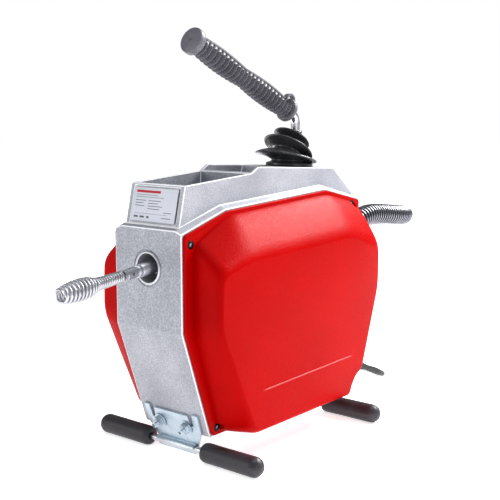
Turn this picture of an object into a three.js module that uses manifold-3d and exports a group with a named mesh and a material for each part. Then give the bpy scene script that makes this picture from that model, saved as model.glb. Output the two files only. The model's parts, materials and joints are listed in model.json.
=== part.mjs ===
// Drain snake machine: a hollow-spindle drain cleaner on four rubber-sleeved foot bars.
// Millimetres, +Z up. X runs across the machine, Y from the outlet (front) to the guide hose (rear).
import * as THREE from 'three';
import { mergeVertices } from 'three/addons/utils/BufferGeometryUtils.js';
import Module from 'manifold-3d';

const wasm = await Module();
wasm.setup();

// ---- Driving dimensions ------------------------------------------------------------------
const ORIGIN_Y = 120;            // half way between the tool's tip and the back of the hose union
const GAP = 0.3;                 // air between two separate pieces that sit on each other
const ROUND = 20;                // sides of an ordinary round piece
const HOUSING_HALF = 54;         // half width of the cast housing
const NECK_HALF = 43.7;          // half width of the raised neck with the tool tray
const BEVEL_RISE = 3.6;          // height of the bevel between housing side and neck
const WALL = 4;                  // neck and tray wall
const SPINDLE_Z = 239.5;         // height of the spindle
const MOTOR_Z = 105;             // height of the motor shaft
const PIVOT = [286, 318];        // lever pivot, Y and Z
const LEVER_ROD_R = 6;
const OVERCUT = 6;               // how far a cutting piece reaches past the wall it opens
const DROOP = 5.7 * Math.PI / 180;      // sag of the tool hanging out of the outlet
const FORK_LEAN = 9 * Math.PI / 180;    // forward lean of the clutch fork at rest
const FOOT_HALF = 134.5;         // half length of a foot bar over its sleeves
const SLEEVE_MOUTH = 45;         // distance of a sleeve's open end from the middle of its bar
const FOOT_Z = 12.4;             // height of the foot bar axis, which is the sleeve's radius
const FOOT_ROD_R = 4.25;
const FOOT_ROD_HALF = 119;
const FRONT_FOOT_Y = 46.5;
const REAR_FOOT_Y = 299.8;
const COVER_PLANE = HOUSING_HALF + GAP;
const FLANGE_T = 3;              // cover flange
const COVER_REACH = 98.8;        // outer face of a cover from the middle
const COVER_T = 3;               // cover wall

// Side outline of the housing, Y and Z, from the front foot edge upwards and round
const OUTLINE = [[46.4, 32.2], [0, 167.4], [0, 282.9], [77, 305.8], [280.8, 316.2], [362, 297.4],
  [362, 171.6], [312, 32.2]];
const FRONT_SLANT = [OUTLINE[0], OUTLINE[1]];
const REAR_SLANT = [OUTLINE[7], OUTLINE[6]];
const REAR_Y = OUTLINE[5][0];
const NECK = [[6.6, 284], [18.7, 336.5], [138.3, 344.2], [151.3, 351.3], [315, 342.2], [362, 304.7],
  [362, 284]];
const CAVITY = [[49.5, 37.2], [5, 168.3], [5, 279], [28, 286], [60, 292], [232, 292], [232, 309], [280, 311],
  [357, 293], [357, 172.6], [308.5, 37.2]];

// ---- Colours -----------------------------------------------------------------------------
const paint = (color, roughness, metalness) =>
  new THREE.MeshStandardMaterial({ color, roughness, metalness });
const cast = () => paint(0xa9adb3, 0.55, 0.7);
const zinc = () => paint(0xb9c2cb, 0.35, 0.9);
const steel = () => paint(0x9a9da1, 0.3, 0.95);
const red = () => paint(0xd2080c, 0.42, 0);
const black = () => paint(0x1b1b1d, 0.6, 0);
const vinyl = () => paint(0x3a393d, 0.5, 0);
const copper = () => paint(0x8a5a3a, 0.45, 0.6);
const white = () => paint(0xd5d8dc, 0.5, 0.1);

// ---- Geometry helpers --------------------------------------------------------------------
const V = (x, y, z) => new THREE.Vector3(x, y, z);

// Position-only indexed copy with shared vertices, no collapsed triangles, faces outwards
function clean(source) {
  const bare = source.clone();
  bare.deleteAttribute('normal');
  bare.deleteAttribute('uv');
  const merged = mergeVertices(bare, 1e-4);
  const at = merged.attributes.position;
  const index = merged.index.array;
  const kept = [];
  let volume = 0;
  for (let i = 0; i < index.length; i += 3) {
    const [a, b, c] = [index[i], index[i + 1], index[i + 2]];
    if (a === b || b === c || c === a) continue;
    kept.push(a, b, c);
    const [p, q, r] = [a, b, c].map((k) => V().fromBufferAttribute(at, k));
    volume += p.dot(q.cross(r));
  }
  if (volume < 0) kept.reverse();
  const result = new THREE.BufferGeometry();
  result.setAttribute('position', at);
  result.setIndex(kept);
  return result;
}

function solid(geometry) {
  const tidy = clean(geometry);
  return new wasm.Manifold(new wasm.Mesh({
    numProp: 3,
    vertProperties: new Float32Array(tidy.attributes.position.array),
    triVerts: new Uint32Array(tidy.index.array),
  }));
}

function surface(manifold) {
  const mesh = manifold.getMesh();
  const result = new THREE.BufferGeometry();
  result.setAttribute('position', new THREE.BufferAttribute(mesh.vertProperties, 3));
  result.setIndex(new THREE.BufferAttribute(mesh.triVerts, 1));
  return result;
}

const join = (...pieces) => pieces.map(solid).reduce((sum, next) => sum.add(next));
const cut = (body, ...tools) => tools.reduce((rest, tool) => rest.subtract(solid(tool)), body);

// Closed outline in Y and Z, extruded from x0 to x1
function prism(points, x0, x1) {
  const shape = new THREE.Shape(points.map(([y, z]) => new THREE.Vector2(y, z)));
  const body = new THREE.ExtrudeGeometry(shape, { depth: x1 - x0, bevelEnabled: false });
  body.applyMatrix4(new THREE.Matrix4().makeBasis(V(0, 1, 0), V(0, 0, 1), V(1, 0, 0)));
  return body.translate(x0, 0, 0);
}

// Box from its lowest to its highest corner
function block(low, high) {
  const size = high.map((value, k) => value - low[k]);
  const centre = high.map((value, k) => (value + low[k]) / 2);
  return new THREE.BoxGeometry(...size).translate(...centre);
}

// Round piece on the Y axis from [radius, y] pairs, closed on itself unless it meets the axis
function turned(profile, sides = ROUND) {
  const points = profile.map(([r, y]) => new THREE.Vector2(r, y));
  const last = profile[profile.length - 1];
  if (profile[0][0] > 0 || last[0] > 0) points.push(points[0].clone());
  return new THREE.LatheGeometry(points, sides);
}

const disc = (radius, y0, y1, sides) => turned([[0, y0], [radius, y0], [radius, y1], [0, y1]], sides);
const ring = (inner, outer, y0, y1, sides) =>
  turned([[inner, y0], [outer, y0], [outer, y1], [inner, y1]], sides);
const alongX = (geometry) => geometry.rotateZ(-Math.PI / 2);
const alongZ = (geometry) => geometry.rotateX(Math.PI / 2);
const atSpindle = (geometry) => geometry.translate(0, 0, SPINDLE_Z);
const atMotor = (geometry) => geometry.translate(0, 0, MOTOR_Z);

// Skin over a row of rings that all have the same number of points, closed at both ends
function loft(rings) {
  const count = rings[0].length;
  const flat = rings.flat().flatMap((p) => p.toArray());
  const index = [];
  for (let r = 0; r + 1 < rings.length; r += 1) {
    for (let i = 0; i < count; i += 1) {
      const a = r * count + i;
      const b = r * count + (i + 1) % count;
      index.push(a, b, a + count, b, b + count, a + count);
    }
  }
  const last = (rings.length - 1) * count;
  const flatEnd = rings[0].map((p) => (rings[0][0].x === rings[0][1].x
    ? new THREE.Vector2(p.y, p.z) : new THREE.Vector2(p.x, p.y)));
  const turning = THREE.ShapeUtils.isClockWise(flatEnd);
  for (const [a, b, c] of THREE.ShapeUtils.triangulateShape(flatEnd, [])) {
    const same = THREE.ShapeUtils.isClockWise([flatEnd[a], flatEnd[b], flatEnd[c]]) === turning;
    const [first, third] = same ? [a, c] : [c, a];
    index.push(third, b, first, last + first, last + b, last + third);
  }
  const body = new THREE.BufferGeometry();
  body.setAttribute('position', new THREE.Float32BufferAttribute(flat, 3));
  body.setIndex(index);
  return body;
}

// The same outline moved inwards by a distance (outline runs clockwise in Y-Z)
function inset(points, distance) {
  const count = points.length;
  return points.map((p, i) => {
    const before = points[(i + count - 1) % count];
    const after = points[(i + 1) % count];
    const u = new THREE.Vector2(p[0] - before[0], p[1] - before[1]).normalize();
    const v = new THREE.Vector2(after[0] - p[0], after[1] - p[1]).normalize();
    const bisector = new THREE.Vector2(u.y + v.y, -u.x - v.x).normalize();
    const reach = distance / (bisector.x * u.y - bisector.y * u.x);
    return [p[0] + bisector.x * reach, p[1] + bisector.y * reach];
  });
}

// Round bar that follows a curve in space
function pipe(curve, radius, steps, sides = 12) {
  const shape = new THREE.Shape();
  for (let i = 0; i < sides; i += 1) {
    const angle = (i / sides) * 2 * Math.PI;
    const point = [radius * Math.cos(angle), radius * Math.sin(angle)];
    if (i === 0) shape.moveTo(...point);
    else shape.lineTo(...point);
  }
  shape.closePath();
  return new THREE.ExtrudeGeometry(shape, { steps, extrudePath: curve, bevelEnabled: false });
}

const machine = new THREE.Group();
machine.position.y = -ORIGIN_Y;

function add(name, shape, material) {
  const geometry = shape instanceof THREE.BufferGeometry ? clean(shape) : surface(shape);
  const mesh = new THREE.Mesh(geometry, material);
  mesh.name = name;
  machine.add(mesh);
  return mesh;
}

// Places a piece built in the frame of a slanted face: X across, Y out of the face, Z up the face
function onSlant([low, high], outward, along, geometry) {
  const up = V(0, high[0] - low[0], high[1] - low[1]).normalize();
  const out = V(-outward, 0, 0).cross(up);
  const place = new THREE.Matrix4().makeBasis(V(outward, 0, 0), out, up);
  place.setPosition(V(0, low[0], low[1]).addScaledVector(up, along));
  return geometry.applyMatrix4(place);
}

// ---- Housing -----------------------------------------------------------------------------
const BEVEL_FROM_Z = 250;        // the bevel follows the upper edges only
const BEARING_OUT_R = 27.3;
const BEARING_IN_R = 15.3;
const BEARING_LEN = 13;
const FRONT_BEARING_Y = 60;
const REAR_BEARING_Y = 336;
const CARRIER_HALF = HOUSING_HALF - 5;
const CARRIER_Z = [198, 293];    // front bearing wall
const CARRIER_R = 34;            // rear bearing boss
const CARRIER_Y = [REAR_BEARING_Y - 1, REAR_Y - 3];
// Bores along the spindle: radius, from Y, to Y
const SPINDLE_BORES = [[20.6, -5, 10], [22.6, -5, 1], [BEARING_OUT_R + GAP, 58, 75],
  [BEARING_OUT_R + GAP, 331, 350], [17, 340, 370]];
const SWITCH_X = 28;
const SWITCH_Z = 195;
const SWITCH_HOLE_R = 4.4;
const PANEL_TILT = Math.atan2(NECK[1][0] - NECK[0][0], NECK[1][1] - NECK[0][1]);
const PANEL_HALF = 37;           // recess for the data plate
const PANEL_HEIGHT = 43;
const PANEL_MID = [13.1, 312.2];
const PANEL_DEPTH = 1.6;
const DATA_PLATE = { half: PANEL_HALF - 1.5, height: 40, depth: 0.4, sink: [0, -0.8, 0.2] };
const TRAY_FRONT = [[24.2, 296], [24.2, 370], [136.6, 370], [136.6, 296]];
const TRAY_REAR = [[140.6, 300], [140.6, 370], [222, 370], [222, 349], [204, 300]];
const LEVER_BAY = [[236, 288], [236, 342.4], [314, 338], [346, 312.5], [346, 288]];
const LEVER_SLOT = [[-9, 264, 330], [9, 296, 360]];
const GLAND_X = 40;
const GLAND_HOLE_R = 6.4;
const GLAND_ALONG = 45.4;        // distance of the cord gland up the rear slant
const BRACKET_BOLTS = [-22, 22];

function panelBox(half, height, depth) {
  const box = new THREE.BoxGeometry(2 * half, 2 * depth, height);
  return box.rotateX(-PANEL_TILT).translate(0, PANEL_MID[0], PANEL_MID[1]);
}

function housing() {
  const raised = OUTLINE.map(([y, z]) => [y, z > BEVEL_FROM_Z ? z + BEVEL_RISE : z]);
  const section = (x, points) => points.map(([y, z]) => V(x, y, z));
  const body = solid(loft([
    section(-HOUSING_HALF, OUTLINE), section(-NECK_HALF, raised),
    section(NECK_HALF, raised), section(HOUSING_HALF, OUTLINE),
  ])).add(solid(prism(NECK, -NECK_HALF, NECK_HALF)));
  const past = HOUSING_HALF + OVERCUT;
  const trayHalf = NECK_HALF - WALL;
  const hollow = cut(body,
    prism(CAVITY, -past, past),
    prism(TRAY_FRONT, -trayHalf, trayHalf),
    prism(TRAY_REAR, -trayHalf, trayHalf),
    prism(LEVER_BAY, -trayHalf, trayHalf),
    block(...LEVER_SLOT),
    panelBox(PANEL_HALF, PANEL_HEIGHT, PANEL_DEPTH));
  const frontWall = block([-CARRIER_HALF, FRONT_BEARING_Y, CARRIER_Z[0]],
    [CARRIER_HALF, FRONT_BEARING_Y + BEARING_LEN, CARRIER_Z[1]]);
  const rearBoss = atSpindle(disc(CARRIER_R, ...CARRIER_Y));
  const glandHole = disc(GLAND_HOLE_R, -2 * OVERCUT, OVERCUT, 16).translate(GLAND_X, 0, 0);
  return cut(hollow.add(solid(frontWall)).add(solid(rearBoss)),
    ...SPINDLE_BORES.map((bore) => atSpindle(disc(...bore))),
    disc(SWITCH_HOLE_R, REAR_Y - 2 * OVERCUT, REAR_Y + OVERCUT, 12).translate(SWITCH_X, 0, SWITCH_Z),
    onSlant(REAR_SLANT, 1, GLAND_ALONG, glandHole));
}

add('housing', housing(), cast());
const dataPlate = panelBox(DATA_PLATE.half, DATA_PLATE.height, DATA_PLATE.depth);
add('data_plate', dataPlate.translate(...DATA_PLATE.sink), white());

// ---- Side covers -------------------------------------------------------------------------
// Bulge outlines where it leaves the flange and at the outer face, Y and Z
const BULGE_ROOT = [[58, 36.6], [16, 168.5], [16, 269], [79, 299], [280, 309], [355, 291], [355, 173.4],
  [318.3, 72], [311, 57], [307, 47], [303, 36.6]];
const BULGE_FACE = [[78, 36.5], [16, 173], [18, 239], [71, 253], [283, 259], [352, 238], [352, 179],
  [314, 68], [298, 60], [290, 50], [284, 36.5]];
// Each step of the bulge: how far out it is, and how far its outline has gone from root to face
const BULGE_STEPS = [[FLANGE_T, 0], [31, 0.56], [39, 0.82], [COVER_REACH - COVER_PLANE, 1]];
const FLANGE_INSET = 2.4;        // flange edge in from the housing's outline
const FACE_INSET = 3;            // last step of the bulge, round the outer face
const BULGE_LAP = 2;             // how deep the bulge starts in the flange
const SCREW_SPOTS = [[12.5, 270.6], [55.7, 43.9], [341, 291.5], [306.5, 43.9]];
const SCREW_HEAD_R = 5;
const SCREW_HEAD_T = 2;
const SCREW_SHANK_R = 2;
const SCREW_HOLE_R = 2.4;
const SCREW_SOCKET_R = 2.2;
const SCREW_SEAT = COVER_PLANE + 1.2;

function bulge(shrink, first) {
  const rings = BULGE_STEPS.map(([out, share]) => {
    const mixed = BULGE_ROOT.map((p, i) => p.map((v, k) => v + (BULGE_FACE[i][k] - v) * share));
    const outline = inset(mixed, shrink + (share === 1 ? FACE_INSET : 0));
    return outline.map(([y, z]) => V(COVER_PLANE + out - shrink, y, z));
  });
  rings.unshift(rings[0].map((p) => V(first, p.y, p.z)));
  return loft(rings);
}

function cover() {
  const flange = prism(inset(OUTLINE, FLANGE_INSET), COVER_PLANE, COVER_PLANE + FLANGE_T);
  const screwHoles = SCREW_SPOTS.flatMap(([y, z]) => [
    alongX(disc(SCREW_HOLE_R, HOUSING_HALF, SCREW_SEAT + OVERCUT, 8)).translate(0, y, z),
    alongX(disc(SCREW_HEAD_R + GAP, SCREW_SEAT, SCREW_SEAT + OVERCUT, 12)).translate(0, y, z),
  ]);
  const shell = join(flange, bulge(0, COVER_PLANE + FLANGE_T - BULGE_LAP));
  return cut(shell, bulge(COVER_T, COVER_PLANE - OVERCUT), ...screwHoles);
}

function coverScrew([y, z]) {
  const seat = SCREW_SEAT + GAP;
  const tip = COVER_PLANE + GAP / 3;
  const top = seat + SCREW_HEAD_T;
  const profile = [[0, tip], [SCREW_SHANK_R, tip], [SCREW_SHANK_R, seat], [SCREW_HEAD_R, seat],
    [SCREW_HEAD_R, top - 0.6], [SCREW_HEAD_R - 0.6, top], [SCREW_SOCKET_R, top], [0, top - 1]];
  return alongX(turned(profile, 8)).translate(0, y, z);
}

for (const [side, sign] of [['right', 1], ['left', -1]]) {
  add(`cover_${side}`, surface(cover()).scale(sign, 1, 1), red());
  SCREW_SPOTS.forEach((spot, i) => {
    add(`cover_screw_${side}_${i + 1}`, coverScrew(spot).scale(sign, 1, 1), black());
  });
}

// ---- Spindle, chuck and outlet -----------------------------------------------------------
const OUTLET_BUSH = [[17.2, -1.2], [19.4, -1.2], [20.2, -0.4], [20.2, 5.3], [26, 5.3], [26, 9], [19.4, 9],
  [19.4, 34], [17.2, 34]];
const SPINDLE_Y = [40, 350];
const SPINDLE_IN_R = 10.5;
const SPINDLE_OUT_R = 15;
const SPIRAL_R = 8;
const DRIVEN_R = 38.3;
const PULLEY_Y = 95;
const PULLEY_W = 18;
const PULLEY_RIM = 4;            // height and width of a pulley's rim
const SLEEVE_Y = [250, 292];
const GROOVE_Y = [272, 284.5];
const CHUCK_Y = [308.2, 330];
const CHUCK_R = 34;
const JAW_Y = [311, 327];
const JAW_W = 12;
const JAW_R = [11.7, 30];        // from the spiral's side of a jaw to its back
const JAW_TURN = 2 * Math.PI / 3;
const SLEEVE_R = 25;
const SLEEVE_RIM_R = 36;
const SLEEVE_RIM_T = 4;
const SPRING = { radius: 19, wire: 1.6, start: 204, length: 43, turns: 4 };
const SPIRAL_Y = [12.5, 373];

add('outlet_bush', atSpindle(turned(OUTLET_BUSH, 32)), steel());

for (const [name, y] of [['front_bearing', FRONT_BEARING_Y], ['rear_bearing', REAR_BEARING_Y]]) {
  add(name, atSpindle(ring(BEARING_IN_R, BEARING_OUT_R, y, y + BEARING_LEN)), steel());
}

// Three slots for the jaws through a tube, from near its axis to past its outside
function slotted(inner, outer, [y0, y1]) {
  const slots = [0, 1, 2].map((i) => block([-JAW_W / 2 - GAP, JAW_Y[0], 2],
    [JAW_W / 2 + GAP, JAW_Y[1], outer + OVERCUT]).rotateY(i * JAW_TURN));
  return atSpindle(surface(cut(solid(ring(inner, outer, y0, y1)), ...slots)));
}

add('spindle_tube', slotted(SPINDLE_IN_R, SPINDLE_OUT_R, SPINDLE_Y), steel());
add('chuck_body', slotted(BEARING_IN_R, CHUCK_R, CHUCK_Y), steel());

for (let i = 0; i < 3; i += 1) {
  const jaw = block([-JAW_W / 2, JAW_Y[0] + GAP, JAW_R[0]], [JAW_W / 2, JAW_Y[1] - GAP, JAW_R[1]]);
  add(`jaw_${i + 1}`, atSpindle(jaw.rotateY(i * JAW_TURN)), steel());
}

function pulley(bore, groove) {
  const rim = groove + PULLEY_RIM;
  const [front, back] = [PULLEY_Y, PULLEY_Y + PULLEY_W];
  return turned([[bore, front], [rim, front], [rim, front + 2], [groove, front + PULLEY_RIM],
    [groove, back - PULLEY_RIM], [rim, back - 2], [rim, back], [bore, back]]);
}

// Sleeve with two collars that the fork pushes along the spindle
function pressSleeve() {
  const [front, back] = SLEEVE_Y;
  const [low, high] = GROOVE_Y;
  return turned([[BEARING_IN_R, front], [SLEEVE_R, front], [SLEEVE_R, low - SLEEVE_RIM_T],
    [SLEEVE_RIM_R, low - SLEEVE_RIM_T], [SLEEVE_RIM_R, low], [SLEEVE_R, low], [SLEEVE_R, high],
    [SLEEVE_RIM_R, high], [SLEEVE_RIM_R, high + SLEEVE_RIM_T], [SLEEVE_R, high + SLEEVE_RIM_T],
    [SLEEVE_R, back], [BEARING_IN_R, back]]);
}

add('driven_pulley', atSpindle(pulley(BEARING_IN_R, DRIVEN_R)), cast());
add('press_sleeve', atSpindle(pressSleeve()), steel());

class Helix extends THREE.Curve {
  constructor(sizes) {
    super();
    Object.assign(this, sizes);
  }

  getPoint(t) {
    const angle = t * this.turns * 2 * Math.PI;
    return V(this.radius * Math.cos(angle), this.start + t * this.length, this.radius * Math.sin(angle));
  }
}

add('return_spring', atSpindle(pipe(new Helix(SPRING), SPRING.wire, 10 * SPRING.turns, 6)), steel());
add('spiral_cable', atSpindle(disc(SPIRAL_R, ...SPIRAL_Y, 16)), steel());

// ---- Tool in the outlet ------------------------------------------------------------------
const COUPLING = [[0, 11.2], [SPIRAL_R, 11.2], [SPIRAL_R, -14], [7.7, -14.6], [7.7, -19], [6.7, -19.8],
  [6.7, -40], [0, -40]];
const PIN_HOLE = { radius: 1.6, y: -28.6 };
// Pear-shaped head, outside down to the tip and back up inside
const AUGER = [[0, -40.3], [6.8, -40.3], [7.4, -60], [7.8, -78.8], [10.6, -86], [12.6, -92], [13, -98],
  [12.7, -108], [11.4, -120], [8.8, -135.3], [6.6, -135.3], [9, -116], [9, -102], [0, -94]];
const drooped = (geometry) => geometry.rotateX(DROOP).translate(0, 0, SPINDLE_Z);

function coupling() {
  const hole = disc(PIN_HOLE.radius, -2 * OVERCUT, 2 * OVERCUT, 10).rotateZ(Math.PI / 2);
  return surface(cut(solid(turned(COUPLING)), hole.translate(0, PIN_HOLE.y, 0)));
}

add('tool_coupling', drooped(coupling()), steel());
add('auger_head', drooped(turned(AUGER)), steel());

// ---- Motor and belt ----------------------------------------------------------------------
const MOTOR_R = 52;
const MOTOR_Y = [130, 288];
const SHAFT_R = 7;
const MOTOR_GROOVE_R = 17.3;
const CAN_WALL = 4;
const CAN = [[0, MOTOR_Y[1]], [MOTOR_R, MOTOR_Y[1]], [MOTOR_R, MOTOR_Y[0]], [MOTOR_R - CAN_WALL, MOTOR_Y[0]],
  [MOTOR_R - CAN_WALL, MOTOR_Y[1] - 5], [0, MOTOR_Y[1] - 5]];
const MOTOR_CAP = [[SHAFT_R + GAP, 121], [MOTOR_R - 12, 121], [MOTOR_R, 125], [MOTOR_R, MOTOR_Y[0] - GAP],
  [SHAFT_R + GAP, MOTOR_Y[0] - GAP]];
const ROTOR = [[0, 92], [SHAFT_R, 92], [SHAFT_R, 150], [38, 150], [38, 265], [SHAFT_R, 265], [SHAFT_R, 282],
  [0, 282]];
const BELT_T = 3;
const BELT_W = 9;
const CRADLE_HALF = 40;
const CRADLE_Y = [140, 270];
const CRADLE_Z = [37.2 + GAP, 66];
const CAPACITOR = { radius: 17, y: [150, 222], x: 74, z: 82 };

add('motor_can', atMotor(turned(CAN)), cast());
add('motor_front_cap', atMotor(turned(MOTOR_CAP)), cast());
add('motor_rotor', atMotor(turned(ROTOR)), copper());
add('motor_pulley', atMotor(pulley(SHAFT_R + GAP, MOTOR_GROOVE_R)), cast());

// Outline of a belt loop round both pulleys, standing off their grooves
function beltLoop(offset) {
  const top = DRIVEN_R + offset;
  const low = MOTOR_GROOVE_R + offset;
  const lean = Math.asin((top - low) / (SPINDLE_Z - MOTOR_Z));
  const loop = new THREE.Path();
  loop.absarc(0, SPINDLE_Z, top, -lean, Math.PI + lean);
  loop.absarc(0, MOTOR_Z, low, Math.PI + lean, 2 * Math.PI - lean);
  return loop;
}

function belt() {
  const shape = new THREE.Shape(beltLoop(BELT_T + 2 * GAP).getPoints(12));
  shape.holes.push(beltLoop(2 * GAP));
  const body = new THREE.ExtrudeGeometry(shape, { depth: BELT_W, bevelEnabled: false });
  return body.rotateX(Math.PI / 2).translate(0, PULLEY_Y + (PULLEY_W + BELT_W) / 2, 0);
}

function motorCradle() {
  const saddle = block([-CRADLE_HALF, CRADLE_Y[0], CRADLE_Z[0]], [CRADLE_HALF, CRADLE_Y[1], CRADLE_Z[1]]);
  return cut(solid(saddle), atMotor(disc(MOTOR_R + GAP, CRADLE_Y[0] - OVERCUT, CRADLE_Y[1] + OVERCUT)));
}

add('drive_belt', belt(), black());
add('motor_cradle', motorCradle(), cast());
add('capacitor', disc(CAPACITOR.radius, ...CAPACITOR.y).translate(CAPACITOR.x, 0, CAPACITOR.z), white());

// ---- Switch ------------------------------------------------------------------------------
const KNOB_R = 15;
const KNOB_T = 5;
const KNOB_BAR = { half: 3.5, reach: 12.5, height: 11 };
const KNOB_STEM_R = 4;
const SWITCH_INNER_Y = 357;      // inner side of the housing's rear wall
const SWITCH_BODY = { half: 16, y: 330, below: 17, above: 9 };

function knob() {
  const face = REAR_Y + 2 * GAP;
  const stem = disc(KNOB_STEM_R, SWITCH_INNER_Y + 0.2, face + 1, 12);
  const dial = turned([[0, face], [KNOB_R, face], [KNOB_R, face + KNOB_T - 1.5], [KNOB_R - 2, face + KNOB_T],
    [0, face + KNOB_T]]);
  const bar = block([-KNOB_BAR.half, face + KNOB_T - 1, -KNOB_BAR.reach],
    [KNOB_BAR.half, face + KNOB_BAR.height, KNOB_BAR.reach]);
  return surface(join(stem, dial, bar)).translate(SWITCH_X, 0, SWITCH_Z);
}

add('switch_body', block([SWITCH_X - SWITCH_BODY.half, SWITCH_BODY.y, SWITCH_Z - SWITCH_BODY.below],
  [SWITCH_X + SWITCH_BODY.half, SWITCH_INNER_Y - GAP, SWITCH_Z + SWITCH_BODY.above]), black());
add('switch_knob', knob(), black());

// ---- Lever, grip, fork and boot ----------------------------------------------------------
const GRIP_LOW = V(0, 270, 419);
const GRIP_TOP = V(0, 77, 504.5);
const GRIP_AXIS = GRIP_TOP.clone().sub(GRIP_LOW).normalize();
const GRIP_LEN = GRIP_TOP.distanceTo(GRIP_LOW);
const PIN_R = 5;
const PIN_HALF = NECK_HALF - WALL - GAP;
const HUB_R = 11.5;
const HUB_HALF = 12;
const ROD_INSET = 22;            // how far the rod stops short of the grip's end
const CAP_T = 20;                // solid end of the grip
const ELBOW_REACH = 11;
const ELBOW = GRIP_LOW.clone().addScaledVector(GRIP_AXIS, (PIVOT[0] - GRIP_LOW.y) / GRIP_AXIS.y);
const FORK_PLATE = [[-6, 8], [6, 8], [6, -42], [3.6, -44], [3.6, -58], [-3.6, -58], [-3.6, -44], [-6, -42]];
const FORK_X = [16, 22];         // inner and outer side of a fork arm
const FORK_EYE_R = 9;
const FORK_BRIDGE = [[-18, -5, -34], [18, 5, -22]];

add('lever_pivot_pin', alongX(disc(PIN_R, -PIN_HALF, PIN_HALF)).translate(0, ...PIVOT), steel());

function leverRod() {
  const path = new THREE.CurvePath();
  const bendStart = ELBOW.clone().add(V(0, 0, -ELBOW_REACH));
  const bendEnd = ELBOW.clone().addScaledVector(GRIP_AXIS, ELBOW_REACH);
  const rodEnd = GRIP_LOW.clone().addScaledVector(GRIP_AXIS, GRIP_LEN - ROD_INSET);
  path.add(new THREE.LineCurve3(V(0, PIVOT[0], PIVOT[1]), bendStart));
  path.add(new THREE.QuadraticBezierCurve3(bendStart, ELBOW, bendEnd));
  path.add(new THREE.LineCurve3(bendEnd, rodEnd));
  const hub = alongX(disc(HUB_R, -HUB_HALF, HUB_HALF)).translate(0, ...PIVOT);
  const bore = alongX(disc(PIN_R + GAP, -HUB_HALF - OVERCUT, HUB_HALF + OVERCUT)).translate(0, ...PIVOT);
  return cut(join(hub, pipe(path, LEVER_ROD_R, 20)), bore);
}

// Handle with two finger swells, a flange at its lower end and a knob at its upper end
function grip() {
  const swell = (s) => 12.6 + 2.2 * Math.abs(Math.sin(2 * Math.PI * s));
  const waves = Array.from({ length: 9 }, (_, i) => [swell(i / 8), 10 + i * (GRIP_LEN - 24) / 8]);
  return turned([[0, GRIP_LEN], [14.6, GRIP_LEN], [16.7, GRIP_LEN - 2.4], [16.7, GRIP_LEN - 9],
    [13, GRIP_LEN - 13], ...waves.reverse(), [15.4, 6], [16, 4], [16, 1.6], [14, 0],
    [LEVER_ROD_R + GAP, 0], [LEVER_ROD_R + GAP, GRIP_LEN - CAP_T], [0, GRIP_LEN - CAP_T]], 18);
}

function placedGrip() {
  const turn = new THREE.Quaternion().setFromUnitVectors(V(0, 1, 0), GRIP_AXIS);
  return grip().applyQuaternion(turn).translate(...GRIP_LOW);
}

function clutchFork() {
  const [inner, outer] = FORK_X;
  const arms = [[inner, outer], [-outer, -inner]].flatMap(([x0, x1]) => [
    prism(FORK_PLATE, x0, x1), alongX(disc(FORK_EYE_R, x0, x1)),
  ]);
  const bore = alongX(disc(PIN_R + GAP, -outer - OVERCUT, outer + OVERCUT));
  const body = cut(join(...arms, block(...FORK_BRIDGE)), bore);
  return surface(body).rotateX(-FORK_LEAN).translate(0, ...PIVOT);
}

add('lever_rod', leverRod(), steel());
add('lever_grip', placedGrip(), black());
add('clutch_fork', clutchFork(), cast());

// Bellows of the boot: centre Y and Z, radius, tilt in degrees
const BELLOWS = [[265, 356.4, 42.5, 14], [270, 368.5, 35, 34], [277.5, 380.5, 26, 38]];
const PLATE_TILT = Math.atan2(NECK[3][1] - NECK[4][1], NECK[4][0] - NECK[3][0]);
const BELLOW_FALL = 14;          // slope from a bellow's hub to its rim
const BOOT_BASE = { radius: 32, thickness: 4.5, y: 272.5, z: 349.6 };
// Middle of the boot: centre Y, height, radius
const BOOT_STEM = [[273, 348, 24], [268, 357, 20], [271, 368, 16], [279, 381, 12], [286, 392, 9.5]];

function boot() {
  const bellow = ([y, z, radius, tilt]) => alongZ(turned([[0, -6], [radius - BELLOW_FALL, -5],
    [radius - 1, -1.5], [radius - 1, 1.5], [radius - BELLOW_FALL, 5], [0, 6]]))
    .rotateX(-tilt * Math.PI / 180).translate(0, y, z);
  const base = alongZ(disc(BOOT_BASE.radius, 0, BOOT_BASE.thickness)).rotateX(-PLATE_TILT)
    .translate(0, BOOT_BASE.y, BOOT_BASE.z);
  const core = loft(BOOT_STEM.map(([y, z, radius]) => Array.from({ length: ROUND }, (_, i) => {
    const angle = (i / ROUND) * 2 * Math.PI;
    return V(radius * Math.cos(angle), y + radius * Math.sin(angle), z);
  })));
  const hole = alongZ(disc(LEVER_ROD_R + 0.7, PIVOT[1], GRIP_LOW.z, 16)).translate(0, PIVOT[0], 0);
  return cut(join(core, base, ...BELLOWS.map(bellow)), hole);
}

add('rubber_boot', boot(), black());

// ---- Hose union --------------------------------------------------------------------------
const HOSE_R = 15.5;
const HOSE_LOOP = { y: 520, x: -290, radius: 160, z: HOSE_R + GAP };
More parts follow.
